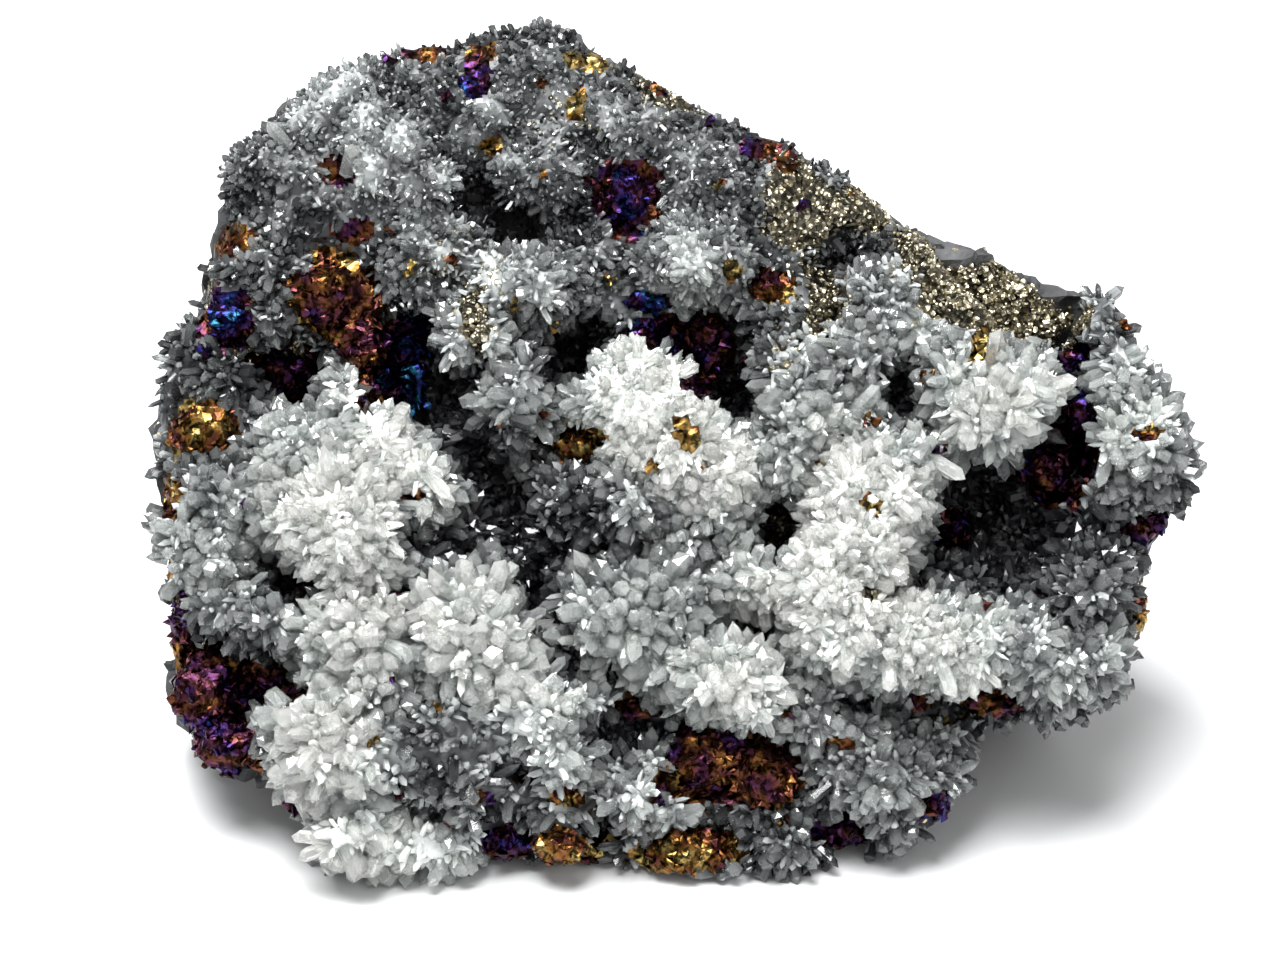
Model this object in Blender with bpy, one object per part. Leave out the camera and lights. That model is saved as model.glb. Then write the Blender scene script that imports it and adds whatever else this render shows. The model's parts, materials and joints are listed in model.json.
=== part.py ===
"""A specimen of peacock ore: a wedge of dark rock whose leaning face carries a crust of quartz
crystals, lumps of tarnished chalcopyrite and a sheet of pyrite grains. Metres, +Z up.

Places on the face are given in millimetres as (u, v, w): u to the right, v up along the leaning
face from its foot, and w out of the face towards the viewer.
"""

import math
import random
from collections import namedtuple

import bmesh
import bpy
import numpy as np
from mathutils import Vector, bvhtree, geometry, noise

# Driving dimensions
MM = 0.001
FACE_LEAN = math.radians(30)  # how far the crystal face leans back from upright
FACE_FOOT_Y = -30.7  # where the foot of the face stands, which centres the object on the origin
DEPTH = 59.0  # from the foot of the face to the back of the rock
MIDDLE = (0.0, 50.0)  # the point of the face that its outline runs round
JOINT_GAP = 0.35  # between the rock and the sheets that lie on it
CUT_GAP = 0.5  # how far ore is cut back from what it grows on

# The silhouette of the face, clockwise from the left-hand corner of its foot
OUTLINE = [
    (-41, 4), (-42, 9), (-47, 11.5), (-52, 14), (-55, 17), (-59.5, 20), (-60.5, 23), (-60.3, 34),
    (-61.3, 44), (-62.5, 53), (-62, 59), (-60, 66), (-57, 69.5), (-55.5, 77), (-53.6, 81),
    (-53.5, 87), (-50, 90.3), (-44, 95.5), (-40.5, 98.5), (-35, 100), (-29, 101), (-20, 103.6),
    (-15.5, 103.8), (-12, 102.3), (-8, 99.5), (0, 96), (6, 92.5), (14, 89.5), (22, 84.8),
    (28, 79.5), (31, 77.5), (39, 75.5), (44.5, 71.8), (52, 70.8), (54.5, 68), (56, 61.5),
    (59, 59), (61.3, 53), (62.5, 49), (60.5, 45.5), (58.5, 42.5), (56.8, 39), (56.3, 31),
    (53, 27), (54, 24.5), (51, 21.4), (43, 20), (36, 18.5), (34, 16), (34.3, 12.5), (31.5, 8),
    (26, 4.6), (17, 3.6), (10, 1.6), (6, 0), (0, 1), (-8, 2.2), (-20, 2.8), (-32, 2.8),
]

# Quartz mounds of the face: (u, v, height of the top, half-width, half-height)
MOUNDS = {
    "crown": [(-4.5, 58, 7, 8, 7), (0.5, 53.5, 7, 6.5, 6.5), (6, 48.5, 5.5, 4, 4.5)],
    "grey_shoulder": [(-4, 46, 4, 7.5, 6), (3, 43.5, 3.5, 5, 4.5), (-12, 47, 1.5, 4.5, 5)],
    "left_dome": [(-38, 43.5, 9, 7.5, 7.5), (-37, 49.5, 6, 4, 3.5)],
    "left_edge": [
        (-55.5, 41, 3, 5.5, 5), (-53, 48, 2.5, 5, 4), (-46.5, 46, 3.5, 5, 4.5),
        (-51, 33, 3, 5, 4.5), (-45, 31, 5, 5, 4), (-57, 34, 0, 3, 4),
    ],
    "diagonal_ridge": [
        (-37.5, 61, 4, 4, 3.5), (-34, 57.5, 5, 3.5, 4), (-33, 53, 5, 5.5, 4.5),
        (-29, 49, 5, 4, 4), (-46, 54, 3.5, 6.5, 5), (-40, 51, 4, 4, 3),
    ],
    "petal_rosette": [(-23, 30.5, 9, 6.8, 6.8), (-21.5, 27, 8.5, 5, 4)],
    "lower_left": [
        (-36, 32, 7, 6.5, 5.5), (-40, 19, 8, 6, 7.5), (-39, 10, 6, 5, 5), (-28, 18, 8, 9, 7),
        (-34, 25, 7, 6, 5), (-16, 22.5, 8, 7, 6), (-13, 17, 6.5, 4.5, 4.5),
        (-22, 12, 4, 5, 4.5), (-36, 7, 2, 6.5, 4), (-29, 6.5, 2, 5.5, 4),
    ],
    "middle_rosette": [(-6, 33.5, 6, 8.3, 6.5), (1, 36, 5, 4.5, 4), (-12, 30, 3, 4, 4)],
    "small_rosette": [(9, 37.5, 4, 4.3, 4)],
    "above_the_ore": [(7, 25, 7, 6.5, 5), (1.5, 27, 5, 4.5, 3.5)],
    "right_dome": [
        (24, 47, 8, 7, 7), (22, 42, 9, 6, 5), (27, 51.5, 6, 4.5, 4), (18.5, 36.5, 9, 6, 5),
    ],
    "ledge": [
        (20, 31.5, 9, 6, 5), (27, 30.5, 8, 5.5, 4.5), (34, 29.5, 7, 5, 4.2),
        (40, 28.5, 6, 5, 4), (46, 27.5, 4, 4.5, 4),
    ],
    "right_rosette": [(38, 57.3, 8, 6.5, 6.3), (33, 60.5, 5, 5, 5)],
    "right_middle": [
        (17, 56.5, 4.5, 6.5, 5.5), (24, 54, 5, 4.5, 4), (13, 51, 3, 4, 4), (12.5, 62, 2, 4, 3.5),
    ],
    "right_edge": [
        (53.5, 61, 1, 5.5, 7), (55, 52.5, 2, 6, 6), (59, 49, -1.5, 3.5, 3.5),
        (49.5, 36, 3, 5, 6), (50, 28.5, 1, 4.5, 4), (52, 67, -1.5, 3.5, 4),
    ],
    "upper_left": [
        (-42, 92, 0, 7, 5.5), (-49, 86.5, 0, 4.8, 4.8), (-34, 88, 1.5, 7, 5.5),
        (-38, 95.5, -1, 6, 4), (-30, 84, 2, 4.5, 3.5), (-41, 81, -1, 6.5, 4.5),
        (-46, 73.5, 0.5, 3.5, 3), (-47, 66.5, 3, 3.8, 3), (-56, 73, -2.5, 3, 3.5),
        (-57, 63, -3, 3.5, 4.5), (-50.5, 62, 0, 3.5, 3),
    ],
    "top": [
        (-17, 97.5, -1, 6.5, 4.5), (-22, 92, 0, 5, 4), (-16, 85, 1, 6, 4), (-29, 95, -1, 5, 4),
        (-3, 90, 0, 6.5, 4), (2, 84, 0, 5, 4), (-4, 96, -3, 5, 3),
    ],
    "upper_middle": [
        (2.5, 74, 4, 6.5, 5.5), (-9, 77, 1, 5, 4), (-17, 72, 4, 8, 4.5), (-23, 66, 4, 5, 4),
        (-16.5, 60.5, 5, 3.5, 5), (-20, 56, 3, 5, 3.5), (-27, 76, 1, 5, 4),
    ],
    "upper_right": [
        (25, 69, 3, 5.5, 5), (30.5, 74, 1.5, 5, 4), (34.5, 68, 3, 4, 5), (22, 63, 3, 5, 4),
        (14, 68, 1, 4, 4), (20, 80, -1, 5, 4), (13, 80, -1.5, 5, 5),
    ],
    "bottom": [
        (-4, 11, 3, 5.5, 5), (-12.5, 8.5, 1.5, 4, 3.5), (24, 14, 2, 8, 6.5), (30, 15, 0, 4, 5),
        (28, 8, -1, 4, 3.5), (16, 5, -1, 4, 3), (12, 7, 0.5, 4, 4), (18, 21.5, 3, 7, 5.5),
    ],
    "grey_hollow": [(-27, 41, 2, 6, 4.5), (-20.5, 39, 0, 4, 4), (-14, 40, -1, 5, 4.5)],
}

# Hollows of the face: (u, v, depth below the bed, radius)
HOLLOWS = [
    (-31, 64, 8, 3.5), (-28, 59, 12, 3.5), (-24, 54, 12, 4), (-20.5, 48.5, 12, 4),
    (-19, 43, 8, 3.5), (-16, 34.5, 10, 3.5), (-15, 29, 8, 3.5), (-12.5, 63.5, 12, 4),
    (-18.5, 78, 8, 3), (-11, 78.5, 7, 2.5), (8, 57, 11, 3.5), (5, 65, 5, 4), (12.5, 43, 9, 3.5),
    (8, 31.5, 9, 3), (11.5, 29, 9, 3.5), (36, 47, 14, 5), (33, 42.5, 10, 4), (40, 42, 8, 5),
    (45, 53, 10, 4), (46, 60, 6, 3), (-46, 38.5, 7, 3.5), (-44, 60, 9, 3.5), (-51, 24, 6, 6),
    (-8.5, 8, 8, 2), (20.5, 7.5, 5, 3), (22.5, 24, 7, 2.5), (20, 75, 5, 3.5), (-23, 82, 6, 2.5),
    (28.5, 59, 6, 3), (27, 36, 6, 3),
]

# Lumps of chalcopyrite: (u, v, rise of the middle over the crust, half-width, half-height,
# half-depth)
ORE = {
    "peacock_ore_plate": [(4, 17, 0.5, 6, 4, 3.5), (11, 14.5, 0.5, 5.5, 5, 4)],
    "peacock_ore_plate_tail": [(-3.5, 22.2, 0, 3.6, 1.8, 2)],
    "peacock_ore_left_corner": [(-55.5, 24, 0.5, 4.5, 6, 3.5), (-52, 17.5, 0.5, 5, 4, 3.5)],
    "peacock_ore_corner_shelf": [(-47.5, 26.5, 0, 4, 2.5, 2.5)],
    "peacock_ore_corner_sliver": [(-44, 11, 0, 3, 1.7, 2)],
    "peacock_ore_upper_left": [(-40, 70.5, 0.5, 6.5, 4, 3.5), (-37, 65.5, 0, 4, 4.5, 3.5)],
    "peacock_ore_blue_wall": [(-30.6, 59.5, 0, 2.2, 5, 2.5)],
    "peacock_ore_left_edge": [(-54.5, 54.8, 0.5, 4.8, 3.8, 3)],
    "peacock_ore_under_ridge": [(-45.5, 61.5, 0, 3.6, 2.6, 2.5)],
    "peacock_ore_purple_knot": [(-52, 67.5, 0, 3, 3, 2.5)],
    "peacock_ore_upper_knot": [(-5, 82, 0.5, 3, 4, 3)],
    "peacock_ore_red_prism": [(4, 65.5, 0, 3.4, 4, 3)],
    "peacock_ore_blue_prism": [(-2.6, 69.6, 0, 3.6, 1.9, 2.5)],
    "peacock_ore_gold_bow": [(-11, 52.8, 0.5, 3.2, 2.2, 2.5)],
    "peacock_ore_crown_grain": [(1.8, 53.8, 0.3, 1.9, 1.9, 1.8)],
    "peacock_ore_orange_knot": [(11, 71.5, 0.5, 2.6, 2.2, 2.4)],
    "peacock_ore_olive_knot": [(36.3, 63.6, 0, 2, 2.6, 2.2)],
    "peacock_ore_cave_wall": [(44.5, 50, 0, 3.6, 3.6, 3)],
    "peacock_ore_cave_shoulder": [(48.3, 57, 0, 2.2, 3, 2.5)],
    "peacock_ore_cave_roof": [(47, 63, 0, 3, 1.6, 2)],
    "peacock_ore_cave_floor": [(33, 43.5, 0, 3.2, 2.6, 2.5)],
    "peacock_ore_right_edge": [(54.5, 42.8, 0, 2.4, 2, 2), (56.8, 43.8, 0, 2, 1.8, 2)],
    "peacock_ore_right_flank": [(54.5, 33, 0, 1.9, 4, 2.2)],
    "peacock_ore_under_ledge": [(37.5, 22.8, 0.5, 4.2, 1.9, 2.2)],
    "peacock_ore_ledge_grain": [(28.6, 23, 0.3, 1.9, 2.1, 2)],
    "peacock_ore_dark_foot": [(20.3, 7.8, 0.3, 3.4, 2.4, 2.5)],
    "peacock_ore_dark_corner": [(30.4, 11, 0.6, 2.6, 2.4, 2.4)],
    "peacock_ore_gold_foot": [(2.5, 5.6, 1, 6.5, 3.2, 3.2)],
    "peacock_ore_orange_foot": [(-12.8, 6.2, 0, 3.4, 2.4, 3)],
    "peacock_ore_violet_foot": [(-19.3, 6.8, 0.2, 3, 2.6, 2.8)],
}

# The bare stretch of rock at the upper right that carries pyrite: it replaces the outline's
# corners from one to another, and its border with the crust runs below them
PYRITE_FROM = OUTLINE.index((39, 75.5))
PYRITE_TO = OUTLINE.index((52, 70.8))
PYRITE_BORDER = [(32.5, 75), (34.5, 72), (37.5, 69.5), (40, 66), (43, 64), (46.5, 65), (49.5, 68)]
PYRITE_FOOT_INSET, PYRITE_TOP_INSET = 0.93, 0.84
PYRITE_EDGE_STEP = 3.2
PYRITE_STEP = 1.9
PYRITE_THICKNESS = (1.5, 2.7)

# The underside: where its flat spot lies on the floor (x, y), and how the stone rises round it,
# as (share of the flat spot's half-sizes, height)
FLAT_SPOT = (-4.0, 7.0)
FLAT_HALF_SIZES = (34.0, 22.0)
UNDERSIDE = [(1.0, 0.0), (1.45, 0.5), (2.0, 2.0), (4.0, 6.0)]
CUTTER_SPOKES, CUTTER_DEPTH = 28, 60

# Everything random starts from one seed; a noise is (how much it moves, length of its waves)
SEED = 11
FACE_BOX = (-65, -2, 130, 108)  # left, foot, width and height of the box round the face
RAGGED = (0.7, 4.0)  # how the outlines wander
SAME_PLACE = 0.00001

# The rock: its bedded face under the crust, its sides and its back
BED = -8.5  # depth of the rock under the crust
BED_WAVES = (1.2, 11.0)
BED_STEP = 7.0  # distance between the corners of the rock's facets
BED_WANDER, BED_APART = 0.16, 0.6  # shares of that step
HOLLOW_CLEARANCE = 2.5  # between the bottom of a hollow and the outlines
HOLLOW_SPREAD = 1.35  # how much wider a hollow is in the rock than in the crust
BED_ROLL, CRUST_ROLL = 0.84, 0.86  # edge share from which the face rolls down to its rim
RIM = -7.0  # depth at which the face turns over into the sides
RIM_STEP = 6.0
FOOT_SLOPE, FOOT_LIFT = math.sqrt(3), 0.4  # keeps the foot of the face just above the floor
ROCK_INSET = 0.985  # the rock's outline, as a share of the face's
SIDE_ROWS, BACK_ROWS = 6, 4
BACK_TAPER, TAPER_CURVE = 0.2, 1.6
THINNEST = 9.0  # thickness of the rock along its top edge
BACK_BULGE = 3.0
LUMPS, CHIPS = (3.2, 17.0), (0.7, 7.0)  # noises of the broken sides and back
BROKEN_FROM = 0.25  # share of the way down the sides at which they are fully rough

# The crust
FLATS = -2.5  # height of the crust between its mounds
FLATS_WAVES = (1.0, 5.0)
CRUST_EDGE = 1.6  # thickness of the crust at its outline
CRUST_EDGE_STEP = 4.0
CRUST_FOOT_INSET, CRUST_TOP_INSET = 0.977, 0.958
LEAST_THICKNESS = 0.9
UNDER_CLEARANCE, OVER_CLEARANCE = 1.2, 1.4  # between corners kept from below and others
CRYSTAL_STEP = 2.75  # distance between the corners of the crust's facets
CRYSTAL_WANDER, CRYSTAL_APART = 0.28, 0.55  # shares of that step
CRYSTAL_JITTER = 0.4
TIP_FLOOR, TIP_CEILING = 0.5, 2.2  # least and greatest height of the crystal tips
TIP_SHARE, TIP_STEEPNESS = 0.3, 0.6
TIP_FOOT = 0.3  # half-width of a tip's foot, as a share of its facet's width
LEAST_PROUD = 0.35  # how far a facet must face out of the crust to carry a tip
ABOVE_FACE = 50

# The ore
ORE_CORNERS = 13
ORE_TURN = 0.35
ORE_SCALES = (0.85, 1.15)
ORE_CLEARANCE = 3.0  # how far the crystal tips stay from the ore
SEAT_REACH, SEAT_SLOPE = 1.5, 2  # the seat sunk into the crust under a lump of ore


def on_face(u, v, w):
    """A place of the leaning face, in millimetres, as a point of the model."""
    lean_sin, lean_cos = math.sin(FACE_LEAN), math.cos(FACE_LEAN)
    y = FACE_FOOT_Y + v * lean_sin - w * lean_cos
    return Vector((u, y, v * lean_cos + w * lean_sin)) * MM


def face_place(point):
    """Where a point of the model lies across and up the leaning face, in millimetres."""
    lean_sin, lean_cos = math.sin(FACE_LEAN), math.cos(FACE_LEAN)
    return point.x / MM, (point.y / MM - FACE_FOOT_Y) * lean_sin + point.z / MM * lean_cos


def wave(waves, u, v, w):
    """One value of a noise, given as its amount and the length of its waves."""
    amount, length = waves
    return amount * noise.noise(Vector((u, v, w)) / length)


def wander(waves, place):
    """How far, and which way, a noise moves a place."""
    amount, length = waves
    return noise.noise_vector(Vector(place) / length) * amount


def smooth_step(low, high, x):
    """0 below the low value, 1 above the high one, and smooth between them."""
    share = min(1.0, max(0.0, (x - low) / (high - low)))
    return share * share * (3 - 2 * share)


ANGLES = np.array([math.atan2(v - MIDDLE[1], u - MIDDLE[0]) for u, v in OUTLINE])
RADII = np.array([math.hypot(u - MIDDLE[0], v - MIDDLE[1]) for u, v in OUTLINE])


def edge_radius(angle):
    """Distance from the middle of the face to its outline in one direction."""
    return float(np.interp(angle, ANGLES, RADII, period=2 * math.pi))


def edge_share(u, v):
    """0 at the middle of the face and 1 at its outline."""
    across, up = u - MIDDLE[0], v - MIDDLE[1]
    return math.hypot(across, up) / edge_radius(math.atan2(up, across))


def toward_middle(place, share):
    """The place drawn in towards the middle of the face."""
    return tuple(m + (p - m) * share for p, m in zip(place, MIDDLE))


def stepped(polygon, step):
    """A closed outline with a corner about every step along it, a little ragged."""
    corners = []
    for start, end in zip(polygon, polygon[1:] + polygon[:1]):
        count = max(1, round(math.dist(start, end) / step))
        for k in range(count):
            place = Vector(start).lerp(Vector(end), k / count)
            shift = wander(RAGGED, (*place, 0))
            corners.append((place.x + shift.x, place.y + shift.y))
    return corners


def inside(polygon, u, v):
    """Whether a place of the face lies inside a closed outline."""
    found = False
    for (au, av), (bu, bv) in zip(polygon, polygon[1:] + polygon[:1]):
        if (av > v) != (bv > v) and u < au + (v - av) / (bv - av) * (bu - au):
            found = not found
    return found


def honeycomb(spacing, rng, most):
    """Places spread evenly over the face's box, each moved a little at random."""
    left, foot, width, height = FACE_BOX
    row_gap = spacing * math.sqrt(3) / 2
    for row in range(int(height / row_gap)):
        for column in range(int(width / spacing)):
            u = left + (column + 0.5 * (row % 2)) * spacing + rng.uniform(-most, most)
            v = foot + row * row_gap + rng.uniform(-most, most)
            yield u, v


def spaced(places, taken, distance):
    """The places that keep their distance from the taken ones and from each other."""
    kept = []
    for place in places:
        if all(math.dist(place, other) > distance for other in taken + kept):
            kept.append(place)
    return kept


def triangulated(places, loops):
    """Triangles over places of the face that keep the sides of every closed loop."""
    points = list(places)
    edges, spans = [], []
    for loop in loops:
        span = range(len(points), len(points) + len(loop))
        points += loop
        edges += list(zip(span, [*span[1:], span[0]]))
        spans.append(span)
    flat = [Vector(p) for p in points]
    verts, _, faces, sources, _, _ = geometry.delaunay_2d_cdt(flat, edges, [], 0, SAME_PLACE)
    made_from = {source: k for k, group in enumerate(sources) for source in group}
    corners = [[made_from[k] for k in span] for span in spans]
    return [tuple(v) for v in verts], faces, corners


def within(polygon, verts, faces):
    """The triangles whose middle lies inside the outline."""
    kept = []
    for face in faces:
        u = sum(verts[k][0] for k in face) / 3
        v = sum(verts[k][1] for k in face) / 3
        if inside(polygon, u, v):
            kept.append(face)
    return kept


def sink(u, v, spread):
    """How deep the hollows reach at a place, with their radii widened by a factor."""
    drop = 0.0
    for cu, cv, depth, radius in HOLLOWS:
        away = ((u - cu) ** 2 + (v - cv) ** 2) / (radius * spread) ** 2
        drop = max(drop, depth * math.exp(-away))
    return drop


def bed_depth(u, v):
    """Depth of the rock's front surface, which the crust grows on."""
    roll = smooth_step(BED_ROLL, 1, edge_share(u, v))
    foot = -FOOT_SLOPE * max(v, 0) + FOOT_LIFT
    depth = BED + wave(BED_WAVES, u, v, 0) - sink(u, v, HOLLOW_SPREAD)
    return max(depth * (1 - roll) + RIM * roll, foot)


def open_crust_top(u, v):
    """Height of the crust's lumpy outer surface, with the mounds that stand out of it."""
    roll = smooth_step(CRUST_ROLL, 1, edge_share(u, v))
    level = FLATS + wave(FLATS_WAVES, u, v, 40) - sink(u, v, 1)
    top = max(level * (1 - roll) + (RIM + CRUST_EDGE) * roll, bed_depth(u, v) + CRUST_EDGE)
    for mounds in MOUNDS.values():
        for cu, cv, crest, half_u, half_v in mounds:
            reach = 1 - ((u - cu) / half_u) ** 2 - ((v - cv) / half_v) ** 2
            if reach > 0:
                bulge = (half_u + half_v) / 2
                top = max(top, crest - bulge * (1 - math.sqrt(reach)))
    return top


def ore_lumps():
    return [lump for lumps in ORE.values() for lump in lumps]


def near_ore(u, v, reach):
    """Whether a place lies within a reach of the side of any lump of ore."""
    for cu, cv, _, half_u, half_v, _ in ore_lumps():
        if math.hypot((u - cu) / (half_u + reach), (v - cv) / (half_v + reach)) < 1:
            return True
    return False


def crust_top(u, v):
    """The same height, with a seat sunk into it under every lump of ore."""
    top = open_crust_top(u, v)
    for cu, cv, _, half_u, half_v, half_w in ore_lumps():
        off = math.hypot((u - cu) / half_u, (v - cv) / half_v)
        if off < SEAT_REACH:
            seat = open_crust_top(cu, cv) + half_w * max(0, off - 1) * SEAT_SLOPE
            top = min(top, seat)
    return top


def plain_object(name, bm):
    """The mesh made into a named object of the scene."""
    mesh = bpy.data.meshes.new(name)
    bm.to_mesh(mesh)
    bm.free()
    obj = bpy.data.objects.new(name, mesh)
    bpy.context.scene.collection.objects.link(obj)
    return obj


def settle(obj):
    """Replaces the object's mesh with what its modifiers make of it."""
    graph = bpy.context.evaluated_depsgraph_get()
    mesh = bpy.data.meshes.new_from_object(obj.evaluated_get(graph))
    obj.modifiers.clear()
    obj.data = mesh


def combine(obj, other, operation):
    """Joins the other solid to the object, or takes its volume out."""
    modifier = obj.modifiers.new("combine", "BOOLEAN")
    modifier.operation = operation
    modifier.solver = "EXACT"
    modifier.object = other
    settle(obj)


def keep_largest(obj):
    """Drops the crumbs that a cut leaves beside the main body."""
    bm = bmesh.new()
    bm.from_mesh(obj.data)
    unseen, groups = set(bm.faces), []
    while unseen:
        group, front = set(), [unseen.pop()]
        while front:
            face = front.pop()
            group.add(face)
            for edge in face.edges:
                for other in edge.link_faces:
                    if other in unseen:
                        unseen.remove(other)
                        front.append(other)
        groups.append(group)
    largest = max(groups, key=lambda faces: sum(f.calc_area() for f in faces))
    crumbs = [f for f in bm.faces if f not in largest]
    bmesh.ops.delete(bm, geom=crumbs, context="FACES")
    bm.to_mesh(obj.data)
    bm.free()


def cut(obj, cutter):
    """Takes the cutter's volume out of the object, and any crumb that comes loose."""
    combine(obj, cutter, "DIFFERENCE")
    keep_largest(obj)


def helper(obj):
    """Keeps a cutter out of the renders and out of the finished object."""
    obj.hide_render = True
    obj.display_type = "WIRE"
    return obj


def swollen(obj, name):
    """A copy of the object moved outwards by the cut gap, to cut its neighbours with."""
    bm = bmesh.new()
    bm.from_mesh(obj.data)
    bm.normal_update()
    for vert in bm.verts:
        vert.co += vert.normal * (CUT_GAP * MM)
    return helper(plain_object(name, bm))


def material(name, colour, roughness, metallic):
    made = bpy.data.materials.new(name)
    made.use_nodes = True
    shader = made.node_tree.nodes["Principled BSDF"]
    shader.inputs["Base Color"].default_value = (*colour, 1)
    shader.inputs["Roughness"].default_value = roughness
    shader.inputs["Metallic"].default_value = metallic
    made.diffuse_color = (*colour, 1)
    return made


Bed = namedtuple("Bed", "verts faces rim crust pyrite")


def bed_layout(rng):
    """The rock's bedded face as triangles, which the crust and the pyrite lie on."""
    rim = [toward_middle(p, ROCK_INSET) for p in stepped(OUTLINE, RIM_STEP)]
    loops = [rim, crust_loop(CRUST_FOOT_INSET), pyrite_loop(PYRITE_FOOT_INSET)]
    fixed = [corner for loop in loops for corner in loop]
    bottoms = [(u, v) for u, v, _, _ in HOLLOWS if inside(rim, u, v)]
    places = spaced(bottoms, fixed, HOLLOW_CLEARANCE)
    loose = [p for p in honeycomb(BED_STEP, rng, BED_WANDER * BED_STEP) if inside(rim, *p)]
    places += spaced(loose, fixed + places, BED_APART * BED_STEP)
    verts, faces, corners = triangulated(places, loops)
    return Bed(verts, within(rim, verts, faces), *corners)


def crust_loop(inset):
    """The crust's outline: that of the face, but for the stretch where pyrite lies bare."""
    crust = OUTLINE[:PYRITE_FROM] + PYRITE_BORDER + OUTLINE[PYRITE_TO:]
    return [toward_middle(p, inset) for p in stepped(crust, CRUST_EDGE_STEP)]


def shrunk(loop, share):
    """The loop drawn in towards its own middle."""
    middle = [sum(p[k] for p in loop) / len(loop) for k in (0, 1)]
    return [tuple(m + (p - m) * share for p, m in zip(place, middle)) for place in loop]


def pyrite_loop(share):
    """The outline of the pyrite sheet, drawn in from the stretch that the crust leaves bare."""
    bare = OUTLINE[PYRITE_FROM:PYRITE_TO] + PYRITE_BORDER[::-1]
    bare = [toward_middle(p, CRUST_FOOT_INSET) for p in bare]
    return shrunk(stepped(bare, PYRITE_EDGE_STEP), share)


def make_rock(bed):
    """The wedge of host rock: bedded face, tapering sides and broken back."""
    lean_sin, lean_cos = math.sin(FACE_LEAN), math.cos(FACE_LEAN)

    def back_depth(v):
        return min(RIM - THINNEST, (v * lean_sin - DEPTH) / lean_cos)

    def roughened(u, v, w, share):
        place = Vector((u, v, w))
        return on_face(*(place + (wander(LUMPS, place) + wander(CHIPS, place)) * share))

    def side_point(place, share):
        u, v = toward_middle(place, 1 - BACK_TAPER * share**TAPER_CURVE)
        front, back = bed_depth(*place), back_depth(v)
        w = front + (back - front) * share
        return roughened(u, v, w, smooth_step(0, BROKEN_FROM, share))

    def back_point(place, share):
        u, v = toward_middle(place, share * (1 - BACK_TAPER))
        return roughened(u, v, back_depth(v) - BACK_BULGE * (1 - share**2), 1)

    bm = bmesh.new()
    front = [bm.verts.new(on_face(u, v, bed_depth(u, v))) for u, v in bed.verts]
    for face in bed.faces:
        bm.faces.new([front[k] for k in face])
    row = [front[k] for k in bed.rim]
    rim = [bed.verts[k] for k in bed.rim]
    count = len(rim)
    rows = []
    for n in range(1, SIDE_ROWS + 1):
        rows.append([side_point(p, n / SIDE_ROWS) for p in rim])
    for n in range(1, BACK_ROWS):
        rows.append([back_point(p, 1 - n / BACK_ROWS) for p in rim])
    for points in rows:
        following = [bm.verts.new(point) for point in points]
        for k in range(count):
            j = (k + 1) % count
            bm.faces.new((row[k], following[k], following[j]))
            bm.faces.new((row[k], following[j], row[j]))
        row = following
    hub = bm.verts.new(back_point(MIDDLE, 0))
    for k in range(count):
        bm.faces.new((hub, row[k], row[(k + 1) % count]))
    bmesh.ops.recalc_face_normals(bm, faces=bm.faces)
    return plain_object("host_rock", bm)


def make_sheet(name, foot, top_loop, places, bed, top_height):
    """A sheet that lies a gap over the rock: bed triangles below, its own lumps above."""
    faces_below = within([bed.verts[k] for k in foot], bed.verts, bed.faces)
    used = sorted({k for face in faces_below for k in face})
    bm = bmesh.new()
    below = {}
    for k in used:
        u, v = bed.verts[k]
        below[k] = bm.verts.new(on_face(u, v, bed_depth(u, v) + JOINT_GAP))
    for face in faces_below:
        bm.faces.new([below[k] for k in reversed(face)])

    shell = [Vector((u, v, bed_depth(u, v))) for u, v in bed.verts]
    tree = bvhtree.BVHTree.FromPolygons(shell, bed.faces)

    def lifted(u, v):
        hit = tree.ray_cast(Vector((u, v, ABOVE_FACE)), Vector((0, 0, -1)))[0]
        least = (hit.z if hit else bed_depth(u, v)) + JOINT_GAP + LEAST_THICKNESS
        return on_face(u, v, max(top_height(u, v), least))

    under = [bed.verts[k] for k in used if inside(top_loop, *bed.verts[k])]
    under = spaced(under, top_loop, UNDER_CLEARANCE)
    places = under + spaced(places, under, OVER_CLEARANCE)
    verts, faces, (top,) = triangulated(places, [top_loop])
    faces = within(top_loop, verts, faces)
    used = sorted({k for face in faces for k in face})
    above = {k: bm.verts.new(lifted(*verts[k])) for k in used}
    for face in faces:
        bm.faces.new([above[k] for k in face])
    count = len(top)
    for k in range(count):
        j = (k + 1) % count
        bm.faces.new((below[foot[k]], above[top[k]], above[top[j]]))
        bm.faces.new((below[foot[k]], above[top[j]], below[foot[j]]))
    bmesh.ops.recalc_face_normals(bm, faces=bm.faces)
    return plain_object(name, bm)


def scattered(loop, spacing, rng):
    """Places inside a loop, well clear of its sides."""
    grid = honeycomb(spacing, rng, CRYSTAL_WANDER * spacing)
    return spaced([p for p in grid if inside(loop, *p)], loop, CRYSTAL_APART * spacing)


def make_quartz(rng, bed):
    """The crust: one lumpy sheet over the rock."""
    top_loop = crust_loop(CRUST_TOP_INSET)
    places = scattered(top_loop, CRYSTAL_STEP, rng)
    heights = {}

    def top_height(u, v):
        jitter = rng.uniform(-CRYSTAL_JITTER, CRYSTAL_JITTER)
        return heights.setdefault((u, v), crust_top(u, v) + jitter)

    return make_sheet("quartz_crust", bed.crust, top_loop, places, bed, top_height)


def make_pyrite(rng, bed):
    """The sheet of pyrite grains on the bare rock at the upper right."""
    top_loop = pyrite_loop(PYRITE_TOP_INSET)
    places = scattered(top_loop, PYRITE_STEP, rng)

    def top_height(u, v):
        return bed_depth(u, v) + rng.uniform(*PYRITE_THICKNESS)

    return make_sheet("pyrite_druse", bed.pyrite, top_loop, places, bed, top_height)


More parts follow.
